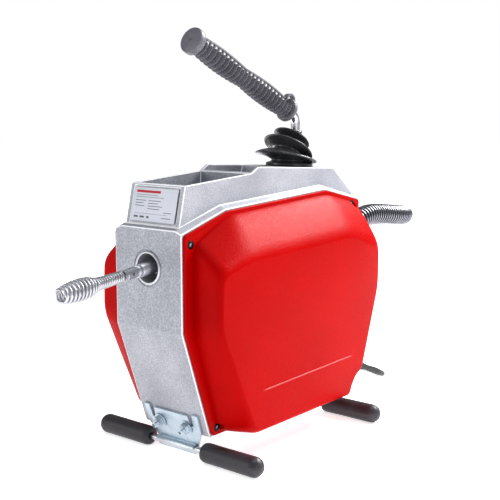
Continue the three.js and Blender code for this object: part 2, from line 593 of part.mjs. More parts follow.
// Free hose: out of the union, over a slight hump, round to the left and down to the floor
const HOSE_ROUTE = [[0, 376.2, 239.5], [0, 390, 239.9], [0, 404, 242], [0, 419, 246], [0, 434, 251],
  [0, 450, 256], [0, 468, 259.4], [0, 488, 259.6], [0, 514, 257.4], [0, 548, 253.2], [-8, 591, 248],
  [-32, 632, 242.6], [-68, 662, 237], [-112, 678, 231], [-165, 681, 220], [-225, 680, 203],
  [-290, 680, 180], [-350, 668, 157], [-403, 633, 134], [-437, 583, 114], [-450, 520, 97], [-438, 460, 83],
  [-403, 407, 70], [-353, 373, 59], [-304, 361, 50], [-249, 365, 40], [-198, 389, 28], [-159, 428, 19.5],
  [-135, 479, 16.2]];
const LOOP_STEP = 20;            // degrees between points of the turn on the floor
const LOOP_END = 240;            // angle at which the hose leaves its turn for the end fitting
const FERRULE_R = 17.5;
const FERRULE = [[11, 0], [16, 0], [FERRULE_R, 2], [FERRULE_R, 12], [16, 14], [16, 26], [FERRULE_R, 28],
  [FERRULE_R, 40], [11, 40]];
const UNION_FLANGE_R = 27;
const HOSE_UNION = [[SPINDLE_IN_R, 352], [15.6, 352], [15.6, REAR_Y + GAP], [UNION_FLANGE_R, REAR_Y + GAP],
  [UNION_FLANGE_R, 367], [18.5, 369], [18.5, 375.5], [SPINDLE_IN_R, 375.5]];

function hosePath() {
  const points = HOSE_ROUTE.map((p) => V(...p));
  for (let angle = 0; angle <= LOOP_END; angle += LOOP_STEP) {
    const a = angle * Math.PI / 180;
    const lift = Math.max(0, angle - LOOP_END + 2 * LOOP_STEP) / (2 * LOOP_STEP) * (FERRULE_R - HOSE_R);
    points.push(V(HOSE_LOOP.x + HOSE_LOOP.radius * Math.cos(a), HOSE_LOOP.y + HOSE_LOOP.radius * Math.sin(a),
      HOSE_LOOP.z + lift));
  }
  return new THREE.CatmullRomCurve3(points);
}

function hoseEnd() {
  const path = hosePath();
  const heading = path.getTangent(1).setZ(0).normalize();
  const start = path.getPoint(1).addScaledVector(heading, GAP).setZ(FERRULE_R + GAP);
  const turn = new THREE.Quaternion().setFromUnitVectors(V(0, 1, 0), heading);
  return turned(FERRULE, 16).applyQuaternion(turn).translate(...start);
}

add('hose_union', atSpindle(turned(HOSE_UNION)), cast());
add('guide_hose', pipe(hosePath(), HOSE_R, 40, 10), steel());
add('hose_end_fitting', hoseEnd(), zinc());

// ---- Mains lead --------------------------------------------------------------------------
const LEAD_R = 4.25;
const RELIEF_END = 45;           // tip of the tapered strain relief
// Thread inside the wall, collar, tapered strain relief
const GLAND = [[LEAD_R + GAP, -6], [6, -6], [6, GAP], [10, GAP], [10, 4], [8.5, 6], [7.4, 12],
  [5.4, RELIEF_END], [0, RELIEF_END], [0, 14], [LEAD_R + GAP, 14]];
const LEAD_COIL = { x: -72, y: 424, radius: 47, half: 13, height: 34.8 };
const LEAD_ROUTE = [[40, 370, 59.6], [40, 384, 53.4], [40, 404, 42.6], [40, 427, 31.8], [39.5, 450, 22],
  [34, 470, 14.6], [22, 488, 9], [5, 504, 5.8], [-14, 513, 4.7], [-33, 513, 4.6], [-51, 505, 4.6],
  [-68, 492.5, 4.6]];
const PLUG_R = 18;
const PLUG_Y = 366;
const PLUG_X = [-44, 8];
const PLUG_PROFILE = [[0, PLUG_X[0]], [5, PLUG_X[0]], [6.5, -26], [11, -22], [13, -12], [PLUG_R, -6],
  [PLUG_R, PLUG_X[1]], [0, PLUG_X[1]]];
const PLUG_PIN = { radius: 2.4, length: 19, spots: [-9.5, 9.5] };

function plug() {
  const face = PLUG_X[1];
  const pins = PLUG_PIN.spots.map((z) => disc(PLUG_PIN.radius, face - 1, face + PLUG_PIN.length, 8)
    .translate(0, 0, z));
  const body = surface(join(turned(PLUG_PROFILE), ...pins)).rotateZ(-Math.PI / 2);
  return body.translate(0, PLUG_Y, PLUG_R + GAP);
}

add('cord_gland', onSlant(REAR_SLANT, 1, GLAND_ALONG, turned(GLAND, 16).translate(GLAND_X, 0, 0)), black());
add('mains_cord', pipe(new THREE.CatmullRomCurve3(LEAD_ROUTE.map((p) => V(...p))), LEAD_R, 14, 8), black());
add('cord_coil', alongZ(ring(LEAD_COIL.radius - LEAD_COIL.half, LEAD_COIL.radius + LEAD_COIL.half, GAP,
  LEAD_COIL.height)).translate(LEAD_COIL.x, LEAD_COIL.y, 0), black());
add('mains_plug', plug(), black());

// ---- Feet --------------------------------------------------------------------------------
const PLATE_T = 3;
const BOLT_ALONG = 10;           // bolts up the slant from its lower end
const BOLT_R = 4;
const BOLT_HOLE_R = 4.4;
const HEX_R = 7.4;
const WASHER_R = 9;
const CRADLE_T = 2.2;
const CRADLE_END = 31;
const MOUTH = { reach: 20, back: 1, above: 2 };
// Bracket plate, across and up the slant: wide body, waisted lower edge, two ears either side of a notch
const BRACKET = [[-44, 30], [-44, 6], [-CRADLE_END, -21], [CRADLE_END, -21], [44, 6], [44, 30], [36, 30],
  [34, 13], [30, 13], [28, 27], [-28, 27], [-30, 13], [-34, 13], [-36, 30]];

// Plate against the slant, with a cradle behind the rod that is open to the front
function bracket(slant, outward, rodY) {
  const shape = new THREE.Shape(BRACKET.map(([x, s]) => new THREE.Vector2(x, s)));
  const plate = new THREE.ExtrudeGeometry(shape, { depth: PLATE_T, bevelEnabled: false });
  plate.rotateX(Math.PI / 2).translate(0, PLATE_T + GAP, 0);
  const holes = BRACKET_BOLTS.map((x) => disc(BOLT_HOLE_R, 0, OVERCUT, 12).translate(x, 0, BOLT_ALONG));
  const past = CRADLE_END + OVERCUT;
  const tube = alongX(disc(FOOT_ROD_R + CRADLE_T, -CRADLE_END, CRADLE_END)).translate(0, rodY, FOOT_Z);
  const bore = alongX(disc(FOOT_ROD_R + GAP, -past, past)).translate(0, rodY, FOOT_Z);
  const mouth = block([-past, rodY - MOUTH.reach, 0], [past, rodY - MOUTH.back, FOOT_Z + MOUTH.above]);
  const cradle = cut(solid(tube), mouth);
  const flat = surface(cut(solid(plate), ...holes));
  return cut(solid(onSlant(slant, outward, 0, flat)).add(cradle), bore);
}

function bracketBolt(x) {
  const out = PLATE_T + 2 * GAP;
  const washer = disc(WASHER_R, out, out + 1.4, 16);
  const hex = disc(HEX_R, out + 1.2, out + 7, 6);
  const socket = disc(2.2, out + 9, out + 20, 6);
  const shank = disc(BOLT_R, GAP, out + 13, 12);
  return surface(cut(join(washer, hex, shank), socket)).translate(x, 0, BOLT_ALONG);
}

// Rubber sleeve with a chamfered mouth and a domed end
function sleeve(side) {
  const mouth = SLEEVE_MOUTH;
  const shoulder = FOOT_HALF - FOOT_Z;
  const dome = Array.from({ length: 5 }, (_, i) => {
    const angle = (i / 4) * Math.PI / 2;
    return [FOOT_Z * Math.sin(angle), shoulder + FOOT_Z * Math.cos(angle)];
  });
  dome[0][0] = 0;
  const body = turned([...dome, [FOOT_Z, mouth + 4], [FOOT_Z - 2, mouth + 1], [FOOT_Z - 4, mouth],
    [FOOT_ROD_R + GAP, mouth], [FOOT_ROD_R + GAP, shoulder - 3], [0, shoulder - 3]], 16);
  return alongX(body).scale(side, 1, 1);
}

for (const [end, slant, outward, rodY] of [['front', FRONT_SLANT, -1, FRONT_FOOT_Y],
  ['rear', REAR_SLANT, 1, REAR_FOOT_Y]]) {
  add(`${end}_bracket`, bracket(slant, outward, rodY), zinc());
  const rod = alongX(disc(FOOT_ROD_R, -FOOT_ROD_HALF, FOOT_ROD_HALF));
  add(`${end}_foot_rod`, rod.translate(0, rodY, FOOT_Z), steel());
  BRACKET_BOLTS.forEach((x, i) => {
    add(`${end}_bolt_${i + 1}`, onSlant(slant, outward, 0, bracketBolt(x)), zinc());
  });
  for (const [side, sign] of [['right', 1], ['left', -1]]) {
    add(`${end}_foot_sleeve_${side}`, sleeve(sign).translate(0, rodY, FOOT_Z), vinyl());
  }
}

export default machine;
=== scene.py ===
"""Drain snake machine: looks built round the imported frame. Metres, +Z up, front of the machine at -Y."""

import json
import math

import bmesh
import bpy
import numpy as np
from mathutils import Matrix, Vector


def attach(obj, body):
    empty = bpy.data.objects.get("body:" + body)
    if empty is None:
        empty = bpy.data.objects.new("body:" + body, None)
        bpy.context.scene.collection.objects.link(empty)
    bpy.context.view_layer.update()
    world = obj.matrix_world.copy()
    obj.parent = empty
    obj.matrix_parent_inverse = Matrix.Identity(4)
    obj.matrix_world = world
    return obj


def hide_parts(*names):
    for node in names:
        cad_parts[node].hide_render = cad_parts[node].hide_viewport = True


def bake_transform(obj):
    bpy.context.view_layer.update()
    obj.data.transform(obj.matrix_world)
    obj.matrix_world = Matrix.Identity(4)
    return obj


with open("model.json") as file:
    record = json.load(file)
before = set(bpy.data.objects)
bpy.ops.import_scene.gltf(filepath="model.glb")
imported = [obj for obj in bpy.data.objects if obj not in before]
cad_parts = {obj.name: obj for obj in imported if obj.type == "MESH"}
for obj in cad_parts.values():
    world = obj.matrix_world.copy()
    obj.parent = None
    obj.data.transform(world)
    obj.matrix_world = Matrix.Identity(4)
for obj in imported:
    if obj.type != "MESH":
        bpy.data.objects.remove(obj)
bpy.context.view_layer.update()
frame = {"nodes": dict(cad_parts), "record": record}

MM = 0.001
ORIGIN_Y = 120                      # mm from the housing's front face to the frame's origin
SPINDLE_Z = 239.5
DROOP = math.radians(5.7)           # how far the tool hangs down from the spindle's axis
TURN = 2 * math.pi
SIDES = (("right", 1), ("left", -1))


def at(x, y, z):
    """A point given in mm, with y counted from the housing's front face."""
    return Vector((x, y - ORIGIN_Y, z)) * MM


# ---- Camera, light and floor ----
CAMERA_AT = at(799.2, -786.8, 432.3)
CAMERA_PITCH = math.radians(8.74)
CAMERA_YAW = math.radians(39.34)
CAMERA_LENS, SENSOR = 69.8, 36
FAR_CLIP = 50

LIGHTS_AIM = Vector((0, 0.05, 0.22))
LIGHTS = [                          # name, place and size in metres, power in watts
    ("back_top", (0.55, 1.75, 1.65), (1.5, 0.9), 82),
    ("overhead", (0.3, 0.0, 2.4), (1.4, 1.4), 13),
    ("front_left", (-1.5, -2.1, 1.0), (1.2, 1.2), 12),
    ("right_fill", (2.4, -0.6, 0.9), (1.3, 1.3), 6),
]
AIR_COLOUR = (0.96, 0.97, 1, 1)
AMBIENT = 0.42                      # strength of the surrounding light on the object
WHITE = (1, 1, 1, 1)
BACKDROP = 1.0                      # strength of the plain white seen behind it
FLOOR_GLOW = 0.68                   # lifts the floor to the backdrop's white
FLOOR_HALF = 8
GAMMA = 0.82                        # deepens the shades, white stays white


def camera():
    data = bpy.data.cameras.new("camera")
    data.lens = CAMERA_LENS
    data.sensor_width = SENSOR
    data.clip_end = FAR_CLIP
    made = bpy.data.objects.new("camera", data)
    made.location = CAMERA_AT
    made.rotation_euler = (math.pi / 2 - CAMERA_PITCH, 0, CAMERA_YAW)
    bpy.context.collection.objects.link(made)
    bpy.context.scene.camera = made


def area_light(name, spot, size, power):
    data = bpy.data.lights.new(name, "AREA")
    data.shape = "RECTANGLE"
    data.size, data.size_y = size
    data.energy = power
    made = bpy.data.objects.new(name, data)
    made.location = spot
    made.rotation_euler = (LIGHTS_AIM - Vector(spot)).to_track_quat("-Z", "Y").to_euler()
    bpy.context.collection.objects.link(made)


def surroundings():
    """A faint sky that lights the object, with plain white where the camera looks past it."""
    world = bpy.data.worlds.new("studio")
    world.use_nodes = True
    tree = world.node_tree
    air = tree.nodes["Background"]
    air.inputs["Color"].default_value = AIR_COLOUR
    air.inputs["Strength"].default_value = AMBIENT
    white = tree.nodes.new("ShaderNodeBackground")
    white.inputs["Color"].default_value = WHITE
    white.inputs["Strength"].default_value = BACKDROP
    rays = tree.nodes.new("ShaderNodeLightPath")
    mix = tree.nodes.new("ShaderNodeMixShader")
    tree.links.new(rays.outputs["Is Camera Ray"], mix.inputs[0])
    tree.links.new(air.outputs[0], mix.inputs[1])
    tree.links.new(white.outputs[0], mix.inputs[2])
    tree.links.new(mix.outputs[0], tree.nodes["World Output"].inputs["Surface"])
    bpy.context.scene.world = world


def studio():
    for light in LIGHTS:
        area_light(*light)
    surroundings()
    bpy.context.scene.view_settings.view_transform = "Standard"
    bpy.context.scene.view_settings.gamma = GAMMA


def floor():
    mesh = bpy.data.meshes.new("floor")
    corners = [(x * FLOOR_HALF, y * FLOOR_HALF, 0) for x, y in ((-1, -1), (1, -1), (1, 1), (-1, 1))]
    mesh.from_pydata(corners, [], [(0, 1, 2, 3)])
    made = bpy.data.objects.new("floor", mesh)
    bpy.context.collection.objects.link(made)
    made.data.materials.append(MATERIAL["floor"])


# ---- Materials ----
MATERIAL = {}
# The record's slot of a material, where their names differ, and a slot's material on the CAD's own nodes
FINISH_OF = {"zinc_plate": "zinc", "steel_black": "black_oxide", "black_rubber": "lead_rubber"}
NOISE_ROUGHNESS = 0.55
FINE_SHARE = 0.45                   # share of the fine grain in a plain surface's colour


class Nodes:
    """Short calls for one material's node tree."""

    def __init__(self, name):
        self.material = bpy.data.materials.new(name)
        self.material.use_nodes = True
        self.tree = self.material.node_tree
        self.shader = self.tree.nodes["Principled BSDF"]
        self.place = self.add("ShaderNodeTexCoord").outputs["Object"]
        MATERIAL[name] = self.material

    def add(self, kind, **settings):
        node = self.tree.nodes.new(kind)
        for key, value in settings.items():
            setattr(node, key, value)
        return node

    def link(self, source, target):
        self.tree.links.new(source, target)

    def feed(self, **sources):
        """Links node outputs to the shader's inputs, with _ for the spaces in their names."""
        for key, source in sources.items():
            self.link(source, self.shader.inputs[key.replace("_", " ")])

    def set(self, **values):
        for key, value in values.items():
            self.shader.inputs[key.replace("_", " ")].default_value = value

    def noise(self, scale, detail=3, stretch=(1, 1, 1)):
        """Noise value with a grain of about 1 / scale metres."""
        place = self.add("ShaderNodeMapping")
        self.link(self.place, place.inputs["Vector"])
        place.inputs["Scale"].default_value = stretch
        node = self.add("ShaderNodeTexNoise")
        node.inputs["Scale"].default_value = scale
        node.inputs["Detail"].default_value = detail
        node.inputs["Roughness"].default_value = NOISE_ROUGHNESS
        self.link(place.outputs["Vector"], node.inputs["Vector"])
        return node.outputs["Fac"]

    def ramp(self, value, stops):
        """Colour ramp from (position, colour) stops."""
        node = self.add("ShaderNodeValToRGB")
        while len(node.color_ramp.elements) < len(stops):
            node.color_ramp.elements.new(0.5)
        for element, (position, colour) in zip(node.color_ramp.elements, stops):
            element.position = position
            element.color = (*colour, 1)
        self.link(value, node.inputs["Fac"])
        return node.outputs["Color"]

    def range(self, value, low, high, start=0.3, stop=0.7):
        """The value's stretch from start to stop, spread from low to high."""
        node = self.add("ShaderNodeMapRange")
        for key, number in zip(("From Min", "From Max", "To Min", "To Max"), (start, stop, low, high)):
            node.inputs[key].default_value = number
        self.link(value, node.inputs["Value"])
        return node.outputs["Result"]

    def math(self, operation, *values):
        node = self.add("ShaderNodeMath", operation=operation)
        for socket, value in zip(node.inputs, values):
            if isinstance(value, (int, float)):
                socket.default_value = value
            else:
                self.link(value, socket)
        return node.outputs["Value"]

    def mixed(self, fine, share, coarse):
        return self.math("MULTIPLY_ADD", fine, share, self.math("MULTIPLY", coarse, 1 - share))

    def bump(self, *layers):
        """Bump from (height value, depth in metres) layers, stacked."""
        normal = None
        for height, depth in layers:
            node = self.add("ShaderNodeBump")
            node.inputs["Distance"].default_value = depth
            self.link(height, node.inputs["Height"])
            if normal is not None:
                self.link(normal, node.inputs["Normal"])
            normal = node.outputs["Normal"]
        self.feed(Normal=normal)


def shades(base, spread):
    """Darker and lighter neighbours of a colour, as the stops of a ramp."""
    darker = tuple(v * (1 - spread) for v in base)
    lighter = tuple(min(1, v * (1 + spread)) for v in base)
    return [(0.3, darker), (0.5, base), (0.7, lighter)]


def plain(name, base, spread, rough, grain, depth, metallic=0.0, blotch=25, **more):
    """A moulded, cast or plated surface: blotchy colour, uneven roughness and a fine raised grain.

    spread is how much the base colour varies, rough its lowest and highest roughness, grain and blotch
    the fineness of the two noises, and depth the grain's height in metres."""
    n = Nodes(name)
    blotches = n.noise(blotch)
    fine = n.noise(grain, detail=2)
    n.feed(Base_Color=n.ramp(n.mixed(fine, FINE_SHARE, blotches), shades(base, spread)),
           Roughness=n.range(blotches, *rough))
    n.bump((fine, depth))
    n.set(Metallic=metallic, **more)


def cast_aluminium():
    """Grey casting with a sparkle of lighter grains and fine pits."""
    n = Nodes("cast_aluminium")
    blotches = n.noise(14, detail=4)
    sparkle = n.noise(620, detail=1)
    pits = n.noise(1300, detail=2)
    greys = [(0.34, (0.31, 0.32, 0.355)), (0.5, (0.43, 0.44, 0.48)), (0.62, (0.56, 0.57, 0.61))]
    n.feed(Base_Color=n.ramp(n.mixed(sparkle, 0.62, blotches), greys), Roughness=n.range(sparkle, 0.4, 0.6))
    n.bump((sparkle, 0.00007), (pits, 0.00004))
    n.set(Metallic=0.35)


def red_plastic():
    """Grained red moulding."""
    n = Nodes("red_plastic")
    drift = n.noise(9, detail=2)
    grain = n.noise(560, detail=2)
    reds = [(0.3, (0.45, 0.0002, 0.0005)), (0.7, (0.50, 0.0004, 0.0009))]
    n.feed(Base_Color=n.ramp(drift, reds), Roughness=n.range(grain, 0.16, 0.52))
    n.bump((grain, 0.0003), (n.noise(60, detail=2), 0.00012))
    n.set(IOR=1.5, Specular_IOR_Level=0.07)


def hose_armour():
    """Wound steel armour: lighter on the ridges and darker in the grooves between them, which is painted
    shade, with random worn patches from a noise.
    """
    n = Nodes("hose_armour")
    groove_depth = n.add("ShaderNodeAttribute", attribute_name="groove").outputs["Fac"]
    # painted shade: the groove's depth darkens the colour; the noise adds random wear
    groove_shade_and_wear = n.math("MULTIPLY_ADD", n.noise(90), 0.3, groove_depth)
    tones = [(0.2, (0.26, 0.26, 0.29)), (0.45, (0.08, 0.08, 0.095)), (0.8, (0.01, 0.01, 0.012))]
    n.feed(Base_Color=n.ramp(groove_shade_and_wear, tones), Roughness=n.range(groove_shade_and_wear, 0.2, 0.5, 0.1, 1.0))
    n.bump((n.noise(500), 0.00003))
    n.set(Metallic=0.75)


def turned_steel(name, base, rough, stretch, metallic=1.0):
    """Machined steel: stretch draws the noise out into fine lathe lines."""
    n = Nodes(name)
    lines = n.noise(240, detail=2, stretch=stretch)
    stain = n.noise(40, detail=4)
    n.feed(Base_Color=n.ramp(stain, shades(base, 0.16)), Roughness=n.range(lines, *rough))
    n.bump((lines, 0.00003))
    n.set(Metallic=metallic)


def materials():
    cast_aluminium()
    red_plastic()
    turned_steel("steel", (0.58, 0.59, 0.62), (0.28, 0.42), (1, 9, 1))
    turned_steel("bush_steel", (0.62, 0.63, 0.66), (0.3, 0.45), (1, 9, 1), metallic=0.55)
    turned_steel("rod_steel", (0.60, 0.60, 0.62), (0.12, 0.3), (9, 1, 1))
    plain("zinc", (0.60, 0.68, 0.74), 0.12, (0.26, 0.42), 500, 0.00003, metallic=0.85, blotch=60)
    # painted highlight: a near-white colour for the housing's rounded edges, standing in for their gleam
    plain("painted_edge_highlight", (0.95, 0.96, 0.98), 0.04, (0.3, 0.45), 500, 0.00003, blotch=60)
    plain("boot_rubber", (0.055, 0.055, 0.06), 0.4, (0.16, 0.3), 350, 0.00004, Coat_Weight=0.5,
          Coat_Roughness=0.12)
    plain("grip_plastic", (0.17, 0.166, 0.19), 0.25, (0.3, 0.5), 520, 0.00008)
    plain("black_plastic", (0.02, 0.02, 0.022), 0.3, (0.35, 0.5), 900, 0.00005)
    plain("lead_rubber", (0.016, 0.016, 0.018), 0.3, (0.35, 0.55), 600, 0.00003)
    plain("sleeve_vinyl", (0.056, 0.054, 0.062), 0.3, (0.28, 0.5), 420, 0.00006, blotch=40)
    hose_armour()
    # painted highlight: a lighter, pinker red for the fine ridge on the covers
    plain("ridge_highlight_red", (0.64, 0.05, 0.055), 0.15, (0.3, 0.45), 460, 0.0001)
    plain("copper_iron", (0.35, 0.16, 0.08), 0.3, (0.4, 0.6), 400, 0.00005, metallic=0.5)
    plain("plate_silver", (0.66, 0.68, 0.74), 0.05, (0.42, 0.55), 700, 0.00002, metallic=0.1, blotch=50)
    plain("plate_rule", (0.13, 0.14, 0.15), 0.1, (0.4, 0.5), 700, 0.00001)
    plain("plate_red", (0.5, 0.01, 0.012), 0.1, (0.4, 0.5), 700, 0.00001)
    plain("black_oxide", (0.02, 0.02, 0.024), 0.3, (0.25, 0.4), 600, 0.00003, metallic=0.7)
    plain("brass", (0.55, 0.4, 0.16), 0.12, (0.2, 0.35), 400, 0.00002, metallic=1.0)
    plain("floor", (0.93, 0.93, 0.935), 0.01, (0.6, 0.7), 200, 0.00001, blotch=3, Emission_Color=WHITE,
          Emission_Strength=FLOOR_GLOW, Specular_IOR_Level=0.1)


# ---- Mesh helpers ----
MERGE = 1e-6                        # metres, points nearer than this become one
SLIVER = 1e-7                       # metres, edges shorter than this are dissolved
AXIS_R = 1e-4                       # mm, radius of a ring on the axis, whose points become one
CURVE_STEPS = 16                    # between two route points of a cord


def place(points, matrix):
    """Points in mm, turned and moved by the matrix, then into the frame in metres."""
    return [at(*(matrix @ Vector(p))) for p in points]


def along(start, direction, roll=(0, 0, 1)):
    """Matrix that puts the local Y axis along a direction, from a start point in mm."""
    y = Vector(direction).normalized()
    z = (Vector(roll) - y * Vector(roll).dot(y)).normalized()
    turn = Matrix((y.cross(z), y, z)).transposed().to_4x4()
    return Matrix.Translation(Vector(start)) @ turn


def solid(name, shape, matrix=Matrix()):
    """Mesh of a closed shape, given as points in mm and faces."""
    points, faces = shape
    mesh = bpy.data.meshes.new(name)
    mesh.from_pydata([tuple(p) for p in place(points, matrix)], [], faces)
    form = bmesh.new()
    form.from_mesh(mesh)
    bmesh.ops.remove_doubles(form, verts=form.verts, dist=MERGE)
    bmesh.ops.dissolve_degenerate(form, edges=form.edges, dist=SLIVER)
    bmesh.ops.recalc_face_normals(form, faces=form.faces)
    form.to_mesh(mesh)
    form.free()
    return mesh


def new_piece(name, mesh, material, body, replaced=(), sharp=40):
    """Piece on a body, shaded smooth except over edges sharper than the angle in degrees."""
    mesh.materials.append(MATERIAL[material])
    for polygon in mesh.polygons:
        polygon.use_smooth = True
    mesh.set_sharp_from_angle(angle=math.radians(sharp))
    made = bpy.data.objects.new(name, mesh)
    bpy.context.collection.objects.link(made)
    bpy.context.view_layer.update()
    if body is not None:
        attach(made, body)
    if replaced:
        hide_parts(*replaced)
    return made


def round_piece(name, profile, matrix, material, body, replaced=(), sides=64, sharp=40):
    return new_piece(name, solid(name, turned(profile, sides), matrix), material, body, replaced, sharp)


def skin(rings, closed=False):
    """Points and faces of a skin over rings with the same number of points.

    Its ends are capped, or closed joins the last ring to the first."""
    count = len(rings[0])
    points = [p for ring in rings for p in ring]
    faces = []
    last = len(rings) if closed else len(rings) - 1
    for r in range(last):
        here, there = r * count, (r + 1) % len(rings) * count
        for i in range(count):
            j = (i + 1) % count
            faces.append((here + i, here + j, there + j, there + i))
    if not closed:
        faces.append(tuple(range(count))[::-1])
        faces.append(tuple(range(len(points) - count, len(points))))
    return points, faces


def merged(shapes):
    """Points and faces of several closed shapes as one."""
    points, faces = [], []
    for part, sides in shapes:
        faces += [tuple(i + len(points) for i in face) for face in sides]
        points += part
    return points, faces


def circle(radius, sides, start=0.0):
    angles = (start + TURN * i / sides for i in range(sides))
    return [(radius * math.cos(a), radius * math.sin(a)) for a in angles]


def turned(profile, sides=64):
    """A round shape on the Y axis from (radius, y) pairs that close on themselves or on the axis."""
    rings = [[Vector((x, y, z)) for x, z in circle(max(radius, AXIS_R), sides)] for radius, y in profile]
    return skin(rings, closed=profile[0][0] > 0 or profile[-1][0] > 0)


def slab(xs, ys, zs):
    """Points and faces of a box from its limits in X, Y and Z."""
    return skin([[Vector((xs[i], y, zs[j])) for i, j in ((0, 0), (1, 0), (1, 1), (0, 1))] for y in ys])


def bend(start, corner, end, steps):
    """Points of a curve that leaves start for the corner and arrives at end from it."""
    return [start.lerp(corner, t).lerp(corner.lerp(end, t), t) for t in (k / steps for k in range(steps + 1))]


def rounded_corner(before, corner, after, radius, share, steps):
    """Points of a curve that cuts the corner, taking at most that share of each side."""
    a, b, c = Vector(before), Vector(corner), Vector(after)
    cut = min(radius, (a - b).length * share, (c - b).length * share)
    curve = bend(b + (a - b).normalized() * cut, b, b + (c - b).normalized() * cut, steps)
    return [tuple(point) for point in curve]


def fillet(profile, radius, steps=3):
    """The same open profile with its inner corners rounded."""
    out = [profile[0]]
    for before, here, after in zip(profile, profile[1:], profile[2:]):
        out += rounded_corner(before, here, after, radius, 0.45, steps)
    return out + [profile[-1]]


def soft_corners(points, radius, steps=6):
    """Closed outline with each corner rounded by the same number of points."""
    out = []
    for i, p in enumerate(points):
        out += rounded_corner(points[i - 1], p, points[(i + 1) % len(points)], radius, 0.4, steps)
    return out


def inset(points, distance):
    """The outline moved inwards, corner by corner (it runs clockwise in Y-Z)."""
    out = []
    for i, p in enumerate(points):
        before, after = Vector(points[i - 1]), Vector(points[(i + 1) % len(points)])
        here = Vector(p)
        u, v = (here - before).normalized(), (after - here).normalized()
        bisector = Vector((u.y + v.y, -u.x - v.x)).normalized()
        out.append(tuple(here + bisector * distance / (bisector.x * u.y - bisector.y * u.x)))
    return out


def tube_rings(line, radius_at, sides):
    """Rings round a line of points in mm, with frames carried along without twist."""
    points = [Vector(p) for p in line]
    last = len(points) - 1
    tangents = [(points[min(i + 1, last)] - points[max(i - 1, 0)]).normalized() for i in range(len(points))]
    side = tangents[0].orthogonal().normalized()
    rings = []
    run = 0.0
    for i, (p, tangent) in enumerate(zip(points, tangents)):
        side = (side - tangent * side.dot(tangent)).normalized()
        up = tangent.cross(side)
        run += (p - points[i - 1]).length if i else 0
        rings.append([p + (side * math.cos(a) + up * math.sin(a)) * radius_at(run, a)
                      for a in (TURN * k / sides for k in range(sides))])
    return rings


def smooth_line(route, step):
    """Centripetal Catmull-Rom line through route points in mm, resampled at an even step, and its length."""
    p = [Vector(q) for q in route]
    p = [2 * p[0] - p[1]] + p + [2 * p[-1] - p[-2]]
    dense = []
    for a, b, c, d in zip(p, p[1:], p[2:], p[3:]):
        k0, k1, k2 = (max((v - u).length ** 0.5, 1e-6) for u, v in ((a, b), (b, c), (c, d)))
        m1 = ((b - a) / k0 - (c - a) / (k0 + k1) + (c - b) / k1) * k1
        m2 = ((c - b) / k1 - (d - b) / (k1 + k2) + (d - c) / k2) * k1
        for t in (i / CURVE_STEPS for i in range(CURVE_STEPS)):
            dense.append((2 * t**3 - 3 * t**2 + 1) * b + (t**3 - 2 * t**2 + t) * m1
                         + (-2 * t**3 + 3 * t**2) * c + (t**3 - t**2) * m2)
    dense.append(p[-2])
    table = np.array([tuple(q) for q in dense])
    run = np.concatenate([[0], np.cumsum(np.linalg.norm(np.diff(table, axis=0), axis=1))])
    count = max(2, round(run[-1] / step))
    stations = np.linspace(0, run[-1], count + 1)
    return [Vector([np.interp(s, run, table[:, k]) for k in range(3)]) for s in stations], run[-1]


def combine(name, base, added, removed):
    """Union of closed meshes, then the cuts, through boolean modifiers applied into one new mesh."""
    host = bpy.data.objects.new("host", base)
    bpy.context.collection.objects.link(host)
    helpers = []
    for operation, meshes in (("UNION", added), ("DIFFERENCE", removed)):
        for mesh in meshes:
            helper = bpy.data.objects.new("helper", mesh)
            bpy.context.collection.objects.link(helper)
            helpers.append(helper)
            modifier = host.modifiers.new("boolean", "BOOLEAN")
            modifier.operation = operation
            modifier.solver = "EXACT"
            modifier.object = helper
    bpy.context.view_layer.update()
    result = bpy.data.meshes.new_from_object(host.evaluated_get(bpy.context.evaluated_depsgraph_get()))
    result.name = name
    for thing in [host, *helpers]:
        bpy.data.objects.remove(thing)
    return result


# ---- Guide hose ----
HOSE_R = 15.5
HOSE_SIDES = 28
HOSE_ROUTE = [(0, 376.2, 239.5), (0, 390, 239.9), (0, 404, 242), (0, 419, 246), (0, 434, 251),
              (0, 450, 256), (0, 468, 259.4), (0, 488, 259.6), (0, 514, 257.4), (0, 548, 253.2),
              (-8, 591, 248), (-32, 632, 242.6), (-68, 662, 237), (-112, 678, 231), (-165, 679.8, 220),
              (-225, 679.8, 203), (-290, 679.8, 180), (-350, 668, 157), (-403, 633, 134), (-437, 583, 114),
              (-449, 520, 97), (-438, 460, 83), (-403, 407, 70), (-353, 373, 59), (-304, 361, 50),
              (-249, 365, 40), (-198, 389, 28), (-159, 428, 19.5), (-135, 479, 16.2)]
LOOP_AT = (-290, 520, 15.8)         # middle of the loop on the floor, at the hose's axis
LOOP_R = 159.2
LOOP_STEP, LOOP_END = 20, 240       # degrees
RIDGE_PITCH = 6.4
RIDGE_DEPTH = 1.7
STEPS_A_RIDGE = 5
FERRULE_R = 17.5
FERRULE_NECK_R = 16
FERRULE_GAP = 0.3
FERRULE = [(11, 0), (FERRULE_NECK_R, 0), (FERRULE_R, 2), (FERRULE_R, 12), (FERRULE_NECK_R, 14),
           (FERRULE_NECK_R, 26), (FERRULE_R, 28), (FERRULE_R, 40), (12.5, 40), (12.5, 20), (11, 20)]


def hose_points():
    """The route, then the loop on the floor, which rises at its end to the end fitting's radius."""
    points = list(HOSE_ROUTE)
    x, y, z = LOOP_AT
    rise = 2 * LOOP_STEP
    for angle in range(0, LOOP_END + 1, LOOP_STEP):
        a = math.radians(angle)
        lift = max(0, angle - LOOP_END + rise) / rise * (FERRULE_R - HOSE_R)
        points.append((x + LOOP_R * math.cos(a), y + LOOP_R * math.sin(a), z + lift))
    return points


def groove(run, angle):
    """Depth of the winding's groove from 0 to 1, at a distance along the hose and an angle round it."""
    return (0.5 - 0.5 * math.cos(TURN * run / RIDGE_PITCH - angle)) ** 2


